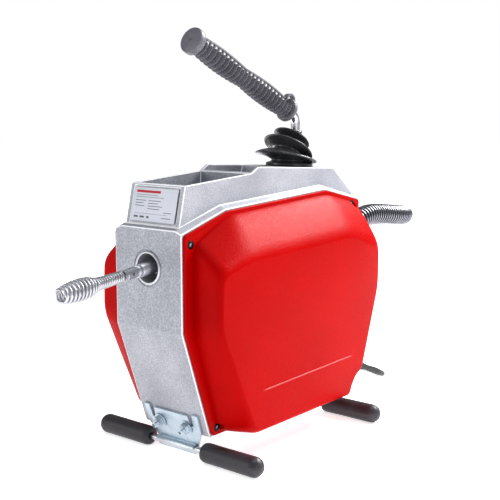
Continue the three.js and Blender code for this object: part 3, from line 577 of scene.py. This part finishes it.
def hose_ferrule(line):
    """End fitting, level on the floor and in line with the hose's last stretch."""
    end = line[-1]
    heading = end - line[-STEPS_A_RIDGE]
    heading.z = 0
    start = end + heading.normalized() * FERRULE_GAP
    start.z = FERRULE_R + FERRULE_GAP
    return round_piece("hose_ferrule", fillet(FERRULE, 0.6), along(start, heading), "zinc", "frame",
                       ["hose_end_fitting"])


def guide_hose():
    line, length = smooth_line(hose_points(), RIDGE_PITCH / STEPS_A_RIDGE)
    rings = tube_rings(line, lambda run, angle: HOSE_R - RIDGE_DEPTH * groove(run, angle), HOSE_SIDES)
    mesh = solid("guide_hose_armour", skin(rings))
    # each point's groove depth, which the armour's material turns into painted shade
    depths = mesh.attributes.new("groove", "FLOAT", "POINT")
    angles = [TURN * k / HOSE_SIDES for k in range(HOSE_SIDES)]
    runs = np.linspace(0, length, len(rings))
    depths.data.foreach_set("value", [groove(run, angle) for run in runs for angle in angles])
    hose = new_piece("guide_hose_armour", mesh, "hose_armour", "frame", ["guide_hose"], sharp=80)
    hose_ferrule(line)


# ---- Mains lead ----
LEAD_R = 4.25
LEAD_ROUTE = [(40, 370, 59.6), (40, 384, 53.4), (40, 404, 42.6), (40, 427, 31.8), (39.5, 450, 22),
              (34, 470, 14.6), (22, 488, 9), (5, 504, 5.8), (-14, 513, 4.7), (-33, 513, 4.6),
              (-51, 505, 4.6), (-68, 492.5, 4.6)]
LEAD_POINT_STEP = 5
COIL_AT = (-72, 424)
COIL_OUT, COIL_IN = 55.5, 38.5
COIL_BASE = 4.6                     # height of the lead's axis in the lowest layer
COIL_LAYERS = 4
COIL_RISE = 2 * LEAD_R + 0.05       # from one layer to the next
COIL_TURNS = 2                      # in each layer
COIL_START = math.radians(105)
COIL_STEP = math.radians(15)
COIL_CLIMB = math.radians(60)       # over which the lead climbs to the next layer
PLUG_TAIL = (-44, 366, 18.3)
PLUG_APPROACH = (-60, 367.5)        # where the lead turns to the plug, X and Y
PLUG = [(0, 0), (5, 0), (6.5, 18), (11, 22), (13, 32), (18, 38), (18, 52), (0, 52)]
PIN = [(0, 51), (2.4, 51), (2.4, 70.4), (0, 71)]
PIN_OFFSET = 9.5


def coil_points():
    """Turns of the wound lead: each layer spirals in or out, then climbs onto the next."""
    count = round(COIL_TURNS * TURN / COIL_STEP)
    climb = round(COIL_CLIMB / COIL_STEP)
    rows = []                       # radius and height at each step round the coil
    for layer in range(COIL_LAYERS):
        start, stop = (COIL_OUT, COIL_IN) if layer % 2 == 0 else (COIL_IN, COIL_OUT)
        base = COIL_BASE + layer * COIL_RISE
        rows += [(start + (stop - start) * i / count, base) for i in range(count + 1)]
        if layer < COIL_LAYERS - 1:
            climbed = (i / climb for i in range(1, climb))
            rows += [(stop, base + COIL_RISE * t * t * (3 - 2 * t)) for t in climbed]
    points = []
    for i, (radius, z) in enumerate(rows):
        a = COIL_START + i * COIL_STEP
        points.append((COIL_AT[0] + radius * math.cos(a), COIL_AT[1] + radius * math.sin(a), z))
    return points


def plug_pieces():
    tail = along(PLUG_TAIL, (1, 0, 0))
    body = fillet(PLUG, 1.5, 5)
    pieces = [round_piece("mains_plug_body", body, tail, "black_plastic", "frame", ["mains_plug"])]
    for k, offset in enumerate((-PIN_OFFSET, PIN_OFFSET)):
        matrix = tail @ Matrix.Translation((0, 0, offset))
        pieces.append(round_piece(f"plug_pin_{k + 1}", fillet(PIN, 0.8), matrix, "brass", "frame", sides=24))
    return pieces


def mains_lead():
    coil = coil_points()
    before_plug = (*PLUG_APPROACH, (coil[-1][2] + PLUG_TAIL[2]) / 2)
    line, length = smooth_line(LEAD_ROUTE + coil + [before_plug, PLUG_TAIL], LEAD_POINT_STEP)
    data = bpy.data.curves.new("mains_lead", "CURVE")
    data.dimensions = "3D"
    data.bevel_depth = LEAD_R * MM
    data.bevel_resolution = 5
    data.use_fill_caps = True
    spline = data.splines.new("POLY")
    spline.points.add(len(line) - 1)
    for point, p in zip(spline.points, line):
        point.co = (*at(*p), 1)
    spline.use_smooth = True
    data.materials.append(MATERIAL["lead_rubber"])
    lead = bpy.data.objects.new("mains_lead", data)
    bpy.context.collection.objects.link(lead)
    bpy.context.view_layer.update()
    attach(lead, "frame")
    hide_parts("mains_cord", "cord_coil")
    plug_pieces()


# ---- Side covers ----
# Outlines as (Y, Z) from the lower front corner round by the front, the top and the rear
OUTLINE = [(46.4, 32.2), (0, 167.4), (0, 282.9), (77, 305.8), (280.8, 316.2), (362, 297.4), (362, 171.6),
           (312, 32.2)]
BULGE_ROOT = [(58, 36.6), (16, 168.5), (16, 269), (79, 299), (280, 309), (355, 291), (355, 173.4),
              (318.3, 72), (311, 57), (307, 47), (303, 36.6)]
BULGE_FACE = [(78, 36.5), (16, 173), (18, 239), (71, 253), (283, 259), (352, 238), (352, 179),
              (314, 68), (298, 60), (290, 50), (284, 36.5)]
COVER_PLANE = 54.3
COVER_REACH = 98.8
COVER_DEPTH = COVER_REACH - COVER_PLANE
FLANGE_T = 3
FLANGE_INSET = 2.4
FLANGE_CORNER_R = 4
FLANGE_EDGE = [(0, 0), (2.2, 0), (2.8, 0.25), (FLANGE_T, 0.8)]      # distance out, distance in
EDGE_R = 8                          # rounding of the bulge's outer edge
EDGE_IN = 5.6                       # how far that rounding reaches in over the face
EDGE_STEPS = 8
CORNER_R = 14
SCREWS = [(12.5, 270.6), (55.7, 43.9), (341, 291.5), (306.5, 43.9)]
# Profiles of the screws and of their sunk holes: radius, distance from the cover's plane
SCREW_SINK = [(0, 1.2), (5.3, 1.2), (5.3, 12), (0, 12)]
SCREW_HEAD = [(0, 0.1), (2, 0.1), (2, 1.5), (4.9, 1.5), (4.9, 3.0), (4.3, 3.5), (2.7, 3.5)]
SCREW_SOCKET = [(2.5, 3.5), (2.5, 2.2), (0, 2.0)]
SOCKET_AT, SOCKET_R = 2.1, 2.1      # the bright part's middle, and how far it reaches
RIDGE = ((92, 88.5), (287, 92.5))   # ends of the fine ridge low on the outer face, Y and Z
RIDGE_R = 1.0
RIDGE_SUNK = 0.25                   # how far its axis lies inside the face
RIDGE_TAPER = 6
RIDGE_TIP = 0.15                    # share of its radius left at its ends
RIDGE_STEPS = 24


def flange_levels():
    """(distance out from the cover's plane, outline) levels of the flange."""
    return [(out, soft_corners(inset(OUTLINE, FLANGE_INSET + drawn_in), FLANGE_CORNER_R))
            for out, drawn_in in FLANGE_EDGE]


def bulge_share(out):
    """How far the outline has changed from the bulge's root to its face at a distance from the plane."""
    return ((out - FLANGE_T) / (COVER_DEPTH - FLANGE_T)) ** 1.25


def bulge_levels():
    """(distance out, outline) levels: a root inside the flange, slanted sides and a rounded edge."""
    edge = COVER_DEPTH - EDGE_R
    steps = [(FLANGE_T - 0.5, 0, 0), (FLANGE_T + 1.5, 0.02, 0)]
    steps += [(out, bulge_share(out), 0) for out in np.linspace(FLANGE_T + 4, edge, 5)]
    for turn in (TURN / 4 * k / EDGE_STEPS for k in range(1, EDGE_STEPS + 1)):
        out = edge + EDGE_R * math.sin(turn)
        steps.append((out, bulge_share(out), EDGE_IN * (1 - math.cos(turn))))
    levels = []
    for out, share, drawn_in in steps:
        outline = [tuple(Vector(a).lerp(Vector(b), share)) for a, b in zip(BULGE_ROOT, BULGE_FACE)]
        levels.append((out, soft_corners(inset(outline, drawn_in), CORNER_R)))
    return [(0.5, levels[0][1])] + levels


def cover_solid(name, sign, levels):
    return solid(name, skin([[Vector((sign * (COVER_PLANE + out), y, z)) for y, z in outline]
                             for out, outline in levels]))


def screw_matrix(sign, y, z):
    return along((sign * COVER_PLANE, y, z), (sign, 0, 0))


def cover(side, sign):
    """Flange plate and bulge joined, with the sunk holes of the screws."""
    plate = cover_solid(f"cover_flange_{side}", sign, flange_levels())
    dome = cover_solid(f"cover_dome_{side}", sign, bulge_levels())
    holes = [solid(f"hole_{side}_{k}", turned(SCREW_SINK, 40), screw_matrix(sign, y, z))
             for k, (y, z) in enumerate(SCREWS)]
    name = f"cover_{side}_shell"
    mesh = combine(name, plate, [dome], holes)
    new_piece(name, mesh, "red_plastic", "frame", [f"cover_{side}"], sharp=50)


def cover_screws(side, sign):
    """Black socket screws with a bright socket."""
    head = turned(fillet(SCREW_HEAD, 0.4) + SCREW_SOCKET, 36)
    for k, (y, z) in enumerate(SCREWS):
        matrix = screw_matrix(sign, y, z)
        name = f"socket_screw_{side}_{k + 1}"
        mesh = solid(name, head, matrix)
        made = new_piece(name, mesh, "black_oxide", "frame", [f"cover_screw_{side}_{k + 1}"])
        made.data.materials.append(MATERIAL["zinc"])
        socket = place([(0, SOCKET_AT, 0)], matrix)[0]
        for polygon in made.data.polygons:
            if (polygon.center - socket).length < SOCKET_R * MM:
                polygon.material_index = 1


def cover_ridge(side, sign):
    """Fine ridge that grows thin towards its ends, in a lighter red that paints its highlight."""
    start, end = (Vector((sign * (COVER_REACH - RIDGE_SUNK), y, z)) for y, z in RIDGE)
    length = (end - start).length

    def radius(run, angle):
        return RIDGE_R * min(1, RIDGE_TIP + min(run, length - run) / RIDGE_TAPER)

    line = [start.lerp(end, i / RIDGE_STEPS) for i in range(RIDGE_STEPS + 1)]
    name = f"cover_{side}_ridge"
    new_piece(name, solid(name, skin(tube_rings(line, radius, 12))), "ridge_highlight_red", "frame")


# ---- Data plate ----
PLATE_AT = (0, 12.3, 312.4)
PLATE_TILT = math.atan2(12.1, 52.5)
ROW_FACES = (-0.46, -0.3)           # front and back of each row, counted from the plate's middle
RED_ROWS = [(-31, 8, 15.2, 2.8)]    # from X, to X, height over the plate's middle, thickness
GREY_ROWS = [(-31, 4, 11.2, 0.5), (-31, 14, 8.6, 0.5), (-31, -14, 4.6, 0.7), (-10, 10, 4.6, 0.7),
             (-31, -18, 1.4, 0.7), (-10, 6, 1.4, 0.7), (-31, -16, -1.8, 0.7), (-10, 13, -1.8, 0.7),
             (-10, 9, -5, 0.7), (16, 29, -8.4, 0.7), (-31, 22, -11, 0.3), (-31, -24, -14.8, 2.2),
             (-21, -14, -14.8, 2.2), (-10, -6, -14.8, 2.2), (14, 29, -14.8, 0.7)]


def plate_rows():
    """Blank printed rows of the data plate."""
    turn = Matrix.Translation(PLATE_AT) @ Matrix.Rotation(-PLATE_TILT, 4, "X")
    for rows, name, material in ((RED_ROWS, "data_plate_red_rows", "plate_red"),
                                 (GREY_ROWS, "data_plate_rule_rows", "plate_rule")):
        shape = merged(slab((x0, x1), ROW_FACES, (z - thick / 2, z + thick / 2)) for x0, x1, z, thick in rows)
        new_piece(name, solid(name, shape, turn), material, "frame")


# ---- Refined CAD pieces ----
def refine(node, body, material, width=0.8, angle=25, edge=None, shortest=0, crease=30):
    """A copy of a CAD node with its coplanar triangles joined and its edges rounded.

    width is the rounding's width in mm, on edges sharper than angle and longer than shortest.
    edge is a bright material of its own for the rounded edges, a painted highlight, and crease is the angle
    that stays sharp."""
    mesh = frame["nodes"][node].data.copy()
    mesh.materials.clear()
    form = bmesh.new()
    form.from_mesh(mesh)
    bmesh.ops.remove_doubles(form, verts=form.verts, dist=MERGE)
    bmesh.ops.dissolve_limit(form, angle_limit=math.radians(1), verts=form.verts, edges=form.edges)
    rounded = [e for e in form.edges if len(e.link_faces) == 2 and e.calc_face_angle(0) > math.radians(angle)
               and e.calc_length() > shortest * MM]
    # the rounded edges take the second material, a painted highlight, when one is given
    bmesh.ops.bevel(form, geom=rounded, offset=width * MM, segments=2, profile=0.6, affect="EDGES",
                    clamp_overlap=shortest == 0, material=1 if edge else -1)
    form.to_mesh(mesh)
    form.free()
    name = f"{node}_detailed"
    mesh.name = name
    made = new_piece(name, mesh, material, body, [node], sharp=crease)
    if edge:
        made.data.materials.append(MATERIAL[edge])


def refined_nodes():
    # the housing's rounded edges get a near-white painted highlight
    refine("housing", "frame", "cast_aluminium", width=1.15, edge="painted_edge_highlight", shortest=9, crease=10)
    refine("front_bracket", "frame", "zinc", width=0.5)
    refine("rear_bracket", "frame", "zinc", width=0.5)
    refine("data_plate", "frame", "plate_silver", width=0.2)
    refine("switch_knob", "knob", "black_plastic")


# ---- Tool in the outlet ----
WIRE_R = 1.75
AUGER_TIP, AUGER_ROOT = -135.2, -40.5
# Distances from the tip, and the wound wire's outer radius there
AUGER_STATIONS = [0, 6, 14, 24, 34, 42, 48, 55, 63, 80, 96]
AUGER_RADII = [8.8, 10.3, 11.8, 12.8, 12.9, 12.2, 10.4, 8.3, 7.6, 7.3, 6.8]
BULB_LENGTH = 52
BULB_PITCH, STEM_PITCH = 5.2, 3.75
STEPS_A_TURN = 28
CORE = [(0, -92), (7.2, -92), (5.2, -82), (4.6, -60), (4.6, -40.4), (0, -40.4)]
COUPLING = [(0, 11.2), (7.6, 11.2), (8, 10.8), (8, -13.2), (7.6, -13.9), (6.9, -14.1), (6.9, -14.7),
            (7.4, -14.9), (7.7, -15.4), (7.7, -18.4), (7.4, -19), (6.3, -19.3), (6.3, -20.6), (6.7, -21),
            (6.7, -35.6), (6.1, -36.2), (6.1, -37.2), (6.7, -37.8), (6.7, -39.6), (6.3, -40), (0, -40)]
RELEASE_AT = -28.6                  # place of the release holes along the coupling
RELEASE_HOLE = [(0, -12), (1.7, -12), (1.7, 12), (0, 12)]


def tool_matrix():
    return Matrix.Translation((0, 0, SPINDLE_Z)) @ Matrix.Rotation(DROOP, 4, "X")


def auger_wire():
    """Axis of the wound wire from tip to root: wide turns in the bulb, close ones in the stem."""
    run = AUGER_ROOT - AUGER_TIP
    turn_starts = [0.0]
    while turn_starts[-1] < run:
        s = turn_starts[-1]
        turn_starts.append(s + (BULB_PITCH if s < BULB_LENGTH else STEM_PITCH))
    turns = range(len(turn_starts))
    line = []
    for i in range(turns[-1] * STEPS_A_TURN + 1):
        s = min(float(np.interp(i / STEPS_A_TURN, turns, turn_starts)), run - WIRE_R)
        radius = float(np.interp(s, AUGER_STATIONS, AUGER_RADII)) - WIRE_R
        angle = TURN * i / STEPS_A_TURN
        y = AUGER_TIP + WIRE_R + s * (run - 2 * WIRE_R) / run
        line.append(Vector((radius * math.cos(angle), y, radius * math.sin(angle))))
    return line


def auger():
    wire = solid("auger_coil", skin(tube_rings(auger_wire(), lambda run, angle: WIRE_R, 10)), tool_matrix())
    new_piece("auger_coil", wire, "steel", "tool", ["auger_head"], sharp=60)
    round_piece("auger_core", CORE, tool_matrix(), "steel", "tool", sides=32)


def coupling():
    """Turned coupling with two release holes across each other."""
    host = solid("coupling_host", turned(COUPLING), tool_matrix())
    holes = []
    for axis in ("Z", "X"):
        matrix = tool_matrix() @ Matrix.Translation((0, RELEASE_AT, 0)) @ Matrix.Rotation(TURN / 4, 4, axis)
        holes.append(solid("coupling_hole", turned(RELEASE_HOLE, 24), matrix))
    name = "tool_coupling_turned"
    new_piece(name, combine(name, host, [], holes), "steel", "tool", ["tool_coupling"], sharp=30)


# ---- Lever grip ----
GRIP_LOW = Vector((0, 270, 419))
GRIP_TOP = Vector((0, 77, 504.5))
GRIP_LENGTH = (GRIP_TOP - GRIP_LOW).length
GRIP_CORE_R = 7.6
FINS = 23
FIRST_FIN = 12
LAST_FIN = GRIP_LENGTH - 17
WAIST_R = 12.7
SWELL = 2.6                         # how much wider the grip is at its two swells
FIN = [(0, 1.6), (-1.2, 0.9), (0, 0.35), (0, -0.35), (-1.2, -0.9), (0, -1.6)]
CAP = [(0, -0.6), (1.3, -0.6), (1.5, 0), (14.6, 0), (16, -0.8), (16.7, -2.4), (16.7, -8.4), (16.1, -9.6),
       (12, -12), (GRIP_CORE_R, -12.6)]     # radius, distance from the top end
COLLAR = [(GRIP_CORE_R, 7.4), (12.5, 7), (15.3, 6), (16, 4.6), (16, 1.6), (15.2, 0.4), (14, 0), (6.3, 0),
          (6.3, 3), (0, 3)]
POST_HALF = 1.1                     # half width of the posts that carry the rail
WINDOW_FLOOR = 3.2                  # height over the axis where the windows under the rail begin
WINDOW_ENDS = (8.5, GRIP_LENGTH - 12.8)
CLEAR = 30                          # past the grip's outside on every side
RAIL_FROM, RAIL_RUN = 6, GRIP_LENGTH - 15
RAIL_STEPS = 80
RAIL_LOW, RAIL_HIGH = -1.8, 0.3     # from the radius over the fins
RAIL_FOOT = 1.3                     # its underside's width as a share of its top's
HANGER_AT = (0, 4, 13)              # middle of the small loop on the lower flange
HANGER_R = 8.5
HANGER_SECTION = ((-3.4, -1.1), (3.4, -1.1), (3.4, 1.1), (-3.4, 1.1))


def grip_envelope(s):
    """Radius over the fins: two hand-shaped swells with a waist between them."""
    t = (s - 10) / (GRIP_LENGTH - 24)
    return WAIST_R + SWELL * abs(math.sin(TURN * t)) ** 0.9


def grip_profile():
    """Cap, fins from the top down, and collar."""
    profile = [(radius, GRIP_LENGTH + y) for radius, y in CAP]
    for k in range(FINS - 1, -1, -1):
        s = FIRST_FIN + k * (LAST_FIN - FIRST_FIN) / (FINS - 1)
        outer = grip_envelope(s)
        profile.append((GRIP_CORE_R, s + FIN[0][1]))
        profile += [(outer + radius, s + y) for radius, y in FIN[1:-1]]
        profile.append((GRIP_CORE_R, s + FIN[-1][1]))
    return profile + COLLAR


def grip_rail():
    """The rail along the top of the fins."""
    rings = []
    for i in range(RAIL_STEPS + 1):
        s = RAIL_FROM + RAIL_RUN * i / RAIL_STEPS
        low, high = grip_envelope(s) + RAIL_LOW, grip_envelope(s) + RAIL_HIGH
        foot, top = POST_HALF * RAIL_FOOT, POST_HALF
        rings.append([Vector((x, s, z)) for x, z in ((-foot, low), (foot, low), (top, high), (-top, high))])
    return skin(rings)


def grip_hanger():
    """Small half loop on the lower flange."""
    rings = []
    for a in (math.pi * i / 24 for i in range(25)):
        out = Vector((0, math.cos(a), math.sin(a)))
        middle = Vector(HANGER_AT) + out * HANGER_R
        rings.append([middle + out * r + Vector((x, 0, 0)) for x, r in HANGER_SECTION])
    return skin(rings)


def lever_grip():
    """Ribbed grip with windows cut through its fins on both sides of the posts, under the rail."""
    matrix = along(GRIP_LOW, GRIP_TOP - GRIP_LOW)
    base = solid("grip", turned(grip_profile(), 48), matrix)
    cutters = [slab((side * POST_HALF, side * CLEAR), WINDOW_ENDS, (WINDOW_FLOOR, CLEAR)) for side in (1, -1)]
    windows = [solid("window", cutter, matrix) for cutter in cutters]
    extras = [solid("grip_rail", grip_rail(), matrix), solid("grip_hanger", grip_hanger(), matrix)]
    trimmed = combine("grip_trimmed", base, [], windows)
    name = "lever_grip_ribbed"
    mesh = combine(name, trimmed, extras, [])
    new_piece(name, mesh, "grip_plastic", "lever", ["lever_grip"], sharp=35)


# ---- Lever rod and boot ----
PIVOT_Y, PIVOT_Z = 286, 318
LEVER_ROD_R = 6
ROD_FOOT = 326                      # height of the rod's lower end, in the hub
ROD_IN_GRIP = 10
ELBOW_REACH = 11                    # length of each side of the bend at the elbow
HUB = [(5.3, -12), (11.5, -12), (11.5, 12), (5.3, 12)]

# Bellows rings from the plate up: centre Y and Z, radius, tilt in degrees
BOOT_RINGS = [
    (272.5, 345.2, 31.2, 3.2), (272.5, 345.0, 32, 3.2), (272.5, 347.6, 32, 3.2), (272.4, 349.4, 30.8, 3.2),
    (272, 350.6, 26, 4), (269.5, 352.2, 23, 8), (266.5, 354.0, 30, 13), (265.2, 355.0, 38, 14),
    (265, 355.5, 41.6, 14), (265, 356.4, 42.5, 14), (265, 357.6, 41.8, 14.5), (265.6, 359.2, 37, 17),
    (267, 361.2, 27, 21), (268.3, 363.2, 19, 26), (269.2, 365.2, 21, 31), (269.8, 366.6, 30, 34),
    (270, 367.4, 34, 34), (270, 368.5, 35, 34), (270, 369.8, 34.2, 34), (270.6, 371.4, 30, 35),
    (272.6, 373.8, 19, 36), (274.4, 376, 14, 37), (276, 378.2, 17, 38), (277.2, 379.6, 23, 38),
    (277.5, 380.6, 25.6, 38), (277.8, 381.8, 25.2, 38), (278.8, 383.4, 20, 36), (281.4, 385.6, 12.8, 26),
    (284, 387.8, 10, 12), (285.8, 390.4, 9.4, 0), (286, 391.6, 8.8, 0), (286, 392, 8, 0),
    (286, 391.4, 6.8, 0), (286, 380, 6.8, 0), (286, 347, 6.8, 0),
]


def lever_rod():
    """Rod from its hub up to the elbow, bent there along the grip, and the hub."""
    axis = (GRIP_TOP - GRIP_LOW).normalized()
    elbow = GRIP_LOW + axis * ((PIVOT_Y - GRIP_LOW.y) / axis.y)
    start, end = elbow - Vector((0, 0, ELBOW_REACH)), elbow + axis * ELBOW_REACH
    foot = Vector((0, PIVOT_Y, ROD_FOOT))
    line = [foot.lerp(start, i / 6) for i in range(6)]
    line += bend(start, elbow, end, 16)
    line.append(end + axis * ROD_IN_GRIP)
    name = "lever_rod_polished"
    mesh = solid(name, skin(tube_rings(line, lambda run, angle: LEVER_ROD_R, 40)))
    new_piece(name, mesh, "rod_steel", "lever", ["lever_rod"], sharp=50)
    pivot = along((0, PIVOT_Y, PIVOT_Z), (1, 0, 0))
    round_piece("lever_hub", fillet(HUB, 0.8), pivot, "rod_steel", "lever")


def smooth_rings(table, between):
    """The listed rings with more of them between along a smooth curve."""
    rows = np.array(table, float)
    last = len(rows) - 1
    out = []
    for i in range(last):
        a, b, c, d = rows[max(i - 1, 0)], rows[i], rows[i + 1], rows[min(i + 2, last)]
        for t in (k / between for k in range(between)):
            out.append(0.5 * (2 * b + (c - a) * t + (2 * a - 5 * b + 4 * c - d) * t**2
                              + (3 * b - a - 3 * c + d) * t**3))
    return out + [rows[-1]]


def rubber_boot():
    """Bellows boot that turns smoothly from the plate to the lever."""
    rings = []
    for y, z, radius, tilt in smooth_rings(BOOT_RINGS, 3):
        a = math.radians(tilt)
        rings.append([Vector((u, y + v * math.cos(a), z - v * math.sin(a))) for u, v in circle(radius, 72)])
    name = "rubber_boot_bellows"
    mesh = solid(name, skin(rings, closed=True))
    boot = new_piece(name, mesh, "boot_rubber", None, ["rubber_boot"], sharp=80)
    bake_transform(boot)


# ---- Feet ----
FOOT_R = 12.4
FOOT_HALF = 134.5
FOOT_ROD_R, FOOT_ROD_HALF = 4.25, 119
MOUTH = 45                          # distance of the sleeves' open ends from the middle plane
ENDS = [("front", 46.5), ("rear", 299.8)]
SLEEVE = [(12.3, 60), (12.1, 30), (12.3, 8), (12.1, 4.5), (11.2, 1.4), (9.4, 0), (5, 0), (4.6, 2), (4.6, 40),
          (0, 40)]                  # radius, distance from the open end


def feet():
    """A steel rod across each end with a vinyl sleeve on each half."""
    dome = [(FOOT_R * math.sin(a), FOOT_HALF - FOOT_R + FOOT_R * math.cos(a))
            for a in (TURN / 4 * i / 12 for i in range(13))]
    sleeve = dome + [(radius, MOUTH + y) for radius, y in SLEEVE]
    half = FOOT_ROD_HALF
    rod = fillet([(0, -half), (FOOT_ROD_R, -half), (FOOT_ROD_R, half), (0, half)], 0.6)
    for end, y in ENDS:
        for side, sign in SIDES:
            round_piece(f"{end}_sleeve_{side}", sleeve, along((0, y, FOOT_R), (sign, 0, 0)), "sleeve_vinyl",
                        "frame", [f"{end}_foot_sleeve_{side}"], sharp=50)
        round_piece(f"{end}_rod", rod, along((0, y, FOOT_R), (1, 0, 0)), "rod_steel", "frame",
                    [f"{end}_foot_rod"])


# ---- Bolts and fittings ----
# Profiles are (radius, distance from the face), and for the bush and union (radius, Y)
SLANTS = {"front": (OUTLINE[0], OUTLINE[1]), "rear": (OUTLINE[7], OUTLINE[6])}
BOLT_X = 22
BOLT_UP = 10                        # height of the bolts up the slanted face
WASHER = [(4.2, 3.6), (9, 3.6), (9, 5), (4.2, 5)]
NUT = [(4.1, 5), (7.2, 5), (7.6, 5.6), (7.6, 9.6), (7.2, 10.6), (5.4, 10.7), (4.3, 9.9)]
NUT_TURN = 0.3                      # angle of the nut's corners
STUD_FOOT = [(0, 0.5), (3.9, 0.5), (3.9, 9.6)]
STUD_TIP = [(3.6, 16.2), (2.2, 16.6), (2.1, 14), (0, 13.6)]
THREADS = 8
THREAD_FROM, THREAD_PITCH = 9.8, 0.8
THREAD_OUT, THREAD_IN = 4.0, 3.5    # radii
BUSH = [(17.2, 33), (17.2, -0.6), (17.9, -1.2), (19.2, -1.2), (20.2, -0.4), (20.2, 5.3), (26, 5.3), (26, 9),
        (19.4, 9), (19.4, 34), (17.2, 34)]
UNION = [(10.5, 352), (15.6, 352), (15.6, 362.3), (27, 362.3), (27, 367), (18.5, 369), (18.5, 371),
         (17, 371.6), (17, 372.6), (18.5, 373.2), (18.5, 375.5), (10.5, 375.5)]
GLAND_X, GLAND_UP = 40, 45.4
GLAND_NUT = [(0, -6), (6, -6), (6, 0.3), (9.6, 0.3), (10, 0.8), (10, 3.4), (9.4, 4.4), (8.6, 5.6), (7.6, 8)]
GLAND_RIBS = 9
FIRST_RIB = 9                       # distance of the first rib from the wall
RIB_PITCH = 4
TAIL_R, TAIL_TAPER = 7.5, 2.0       # radius of the first rib, and how much the tail narrows
RIB = [(0, 0), (0, 2.2), (-1.1, 2.5), (-1.1, 3.7)]
GLAND_TIP = [(5.4, 44.6), (5.2, 45), (0, 45)]


def slant_matrix(end, x, up):
    """Matrix on the housing's slanted front or rear face: local Y out of the face, local Z up it."""
    low, high = SLANTS[end]
    rise = Vector((0, high[0] - low[0], high[1] - low[1])).normalized()
    outward = Vector((1, 0, 0)).cross(rise) * (1 if end == "front" else -1)
    return along(Vector((x, *low)) + rise * up, outward, rise)


def bolts():
    """Washer, nut and threaded stud end of each bolt."""
    washer = turned(fillet(WASHER, 0.3), 48)
    nut = skin([[Vector((r * c, s, r * d)) for c, d in circle(1, 6, NUT_TURN)] for r, s in NUT], closed=True)
    stud = list(STUD_FOOT)
    for s in (THREAD_FROM + i * THREAD_PITCH for i in range(THREADS)):
        stud += [(THREAD_OUT, s), (THREAD_IN, s + THREAD_PITCH / 2)]
    shape = merged([washer, nut, turned(stud + STUD_TIP, 40)])
    for end, sign in (("front", -1), ("rear", 1)):
        for k, x in enumerate((-BOLT_X, BOLT_X)):
            node = f"{end}_bolt_{k + 1}"
            mesh = solid(f"{node}_threaded", shape, slant_matrix(end, sign * x, BOLT_UP))
            new_piece(f"{node}_threaded", mesh, "zinc", "frame", [node], sharp=28)


def gland_profile():
    """Nut and flexible tail with ribs that grow thinner outwards."""
    profile = list(GLAND_NUT)
    for i in range(GLAND_RIBS):
        radius = TAIL_R - TAIL_TAPER * i / GLAND_RIBS
        profile += [(radius + r, FIRST_RIB + i * RIB_PITCH + s) for r, s in RIB]
    return profile + GLAND_TIP


def fittings():
    spindle = Matrix.Translation((0, 0, SPINDLE_Z))
    bush, union, gland = fillet(BUSH, 0.3), fillet(UNION, 0.5), gland_profile()
    rear = slant_matrix("rear", GLAND_X, GLAND_UP)
    round_piece("outlet_bush_turned", bush, spindle, "bush_steel", "frame", ["outlet_bush"], sides=96)
    round_piece("hose_union_turned", union, spindle, "cast_aluminium", "frame", ["hose_union"])
    round_piece("cord_gland_ribbed", gland, rear, "black_plastic", "frame", ["cord_gland"], sides=40)


# ---- Build ----
def carried_over():
    """Gives each CAD node the material of its slot in the record."""
    slots = {row["node"]: row["material_slot"] for row in frame["record"]["subparts"]}
    for name, node in frame["nodes"].items():
        node.data.materials.clear()
        node.data.materials.append(MATERIAL[FINISH_OF.get(slots[name], slots[name])])


camera()
materials()
carried_over()
guide_hose()
mains_lead()
for make in (cover, cover_screws, cover_ridge):
    for side_name, side_sign in SIDES:
        make(side_name, side_sign)
plate_rows()
refined_nodes()
auger()
coupling()
lever_grip()
lever_rod()
rubber_boot()
feet()
bolts()
fittings()
floor()
studio()
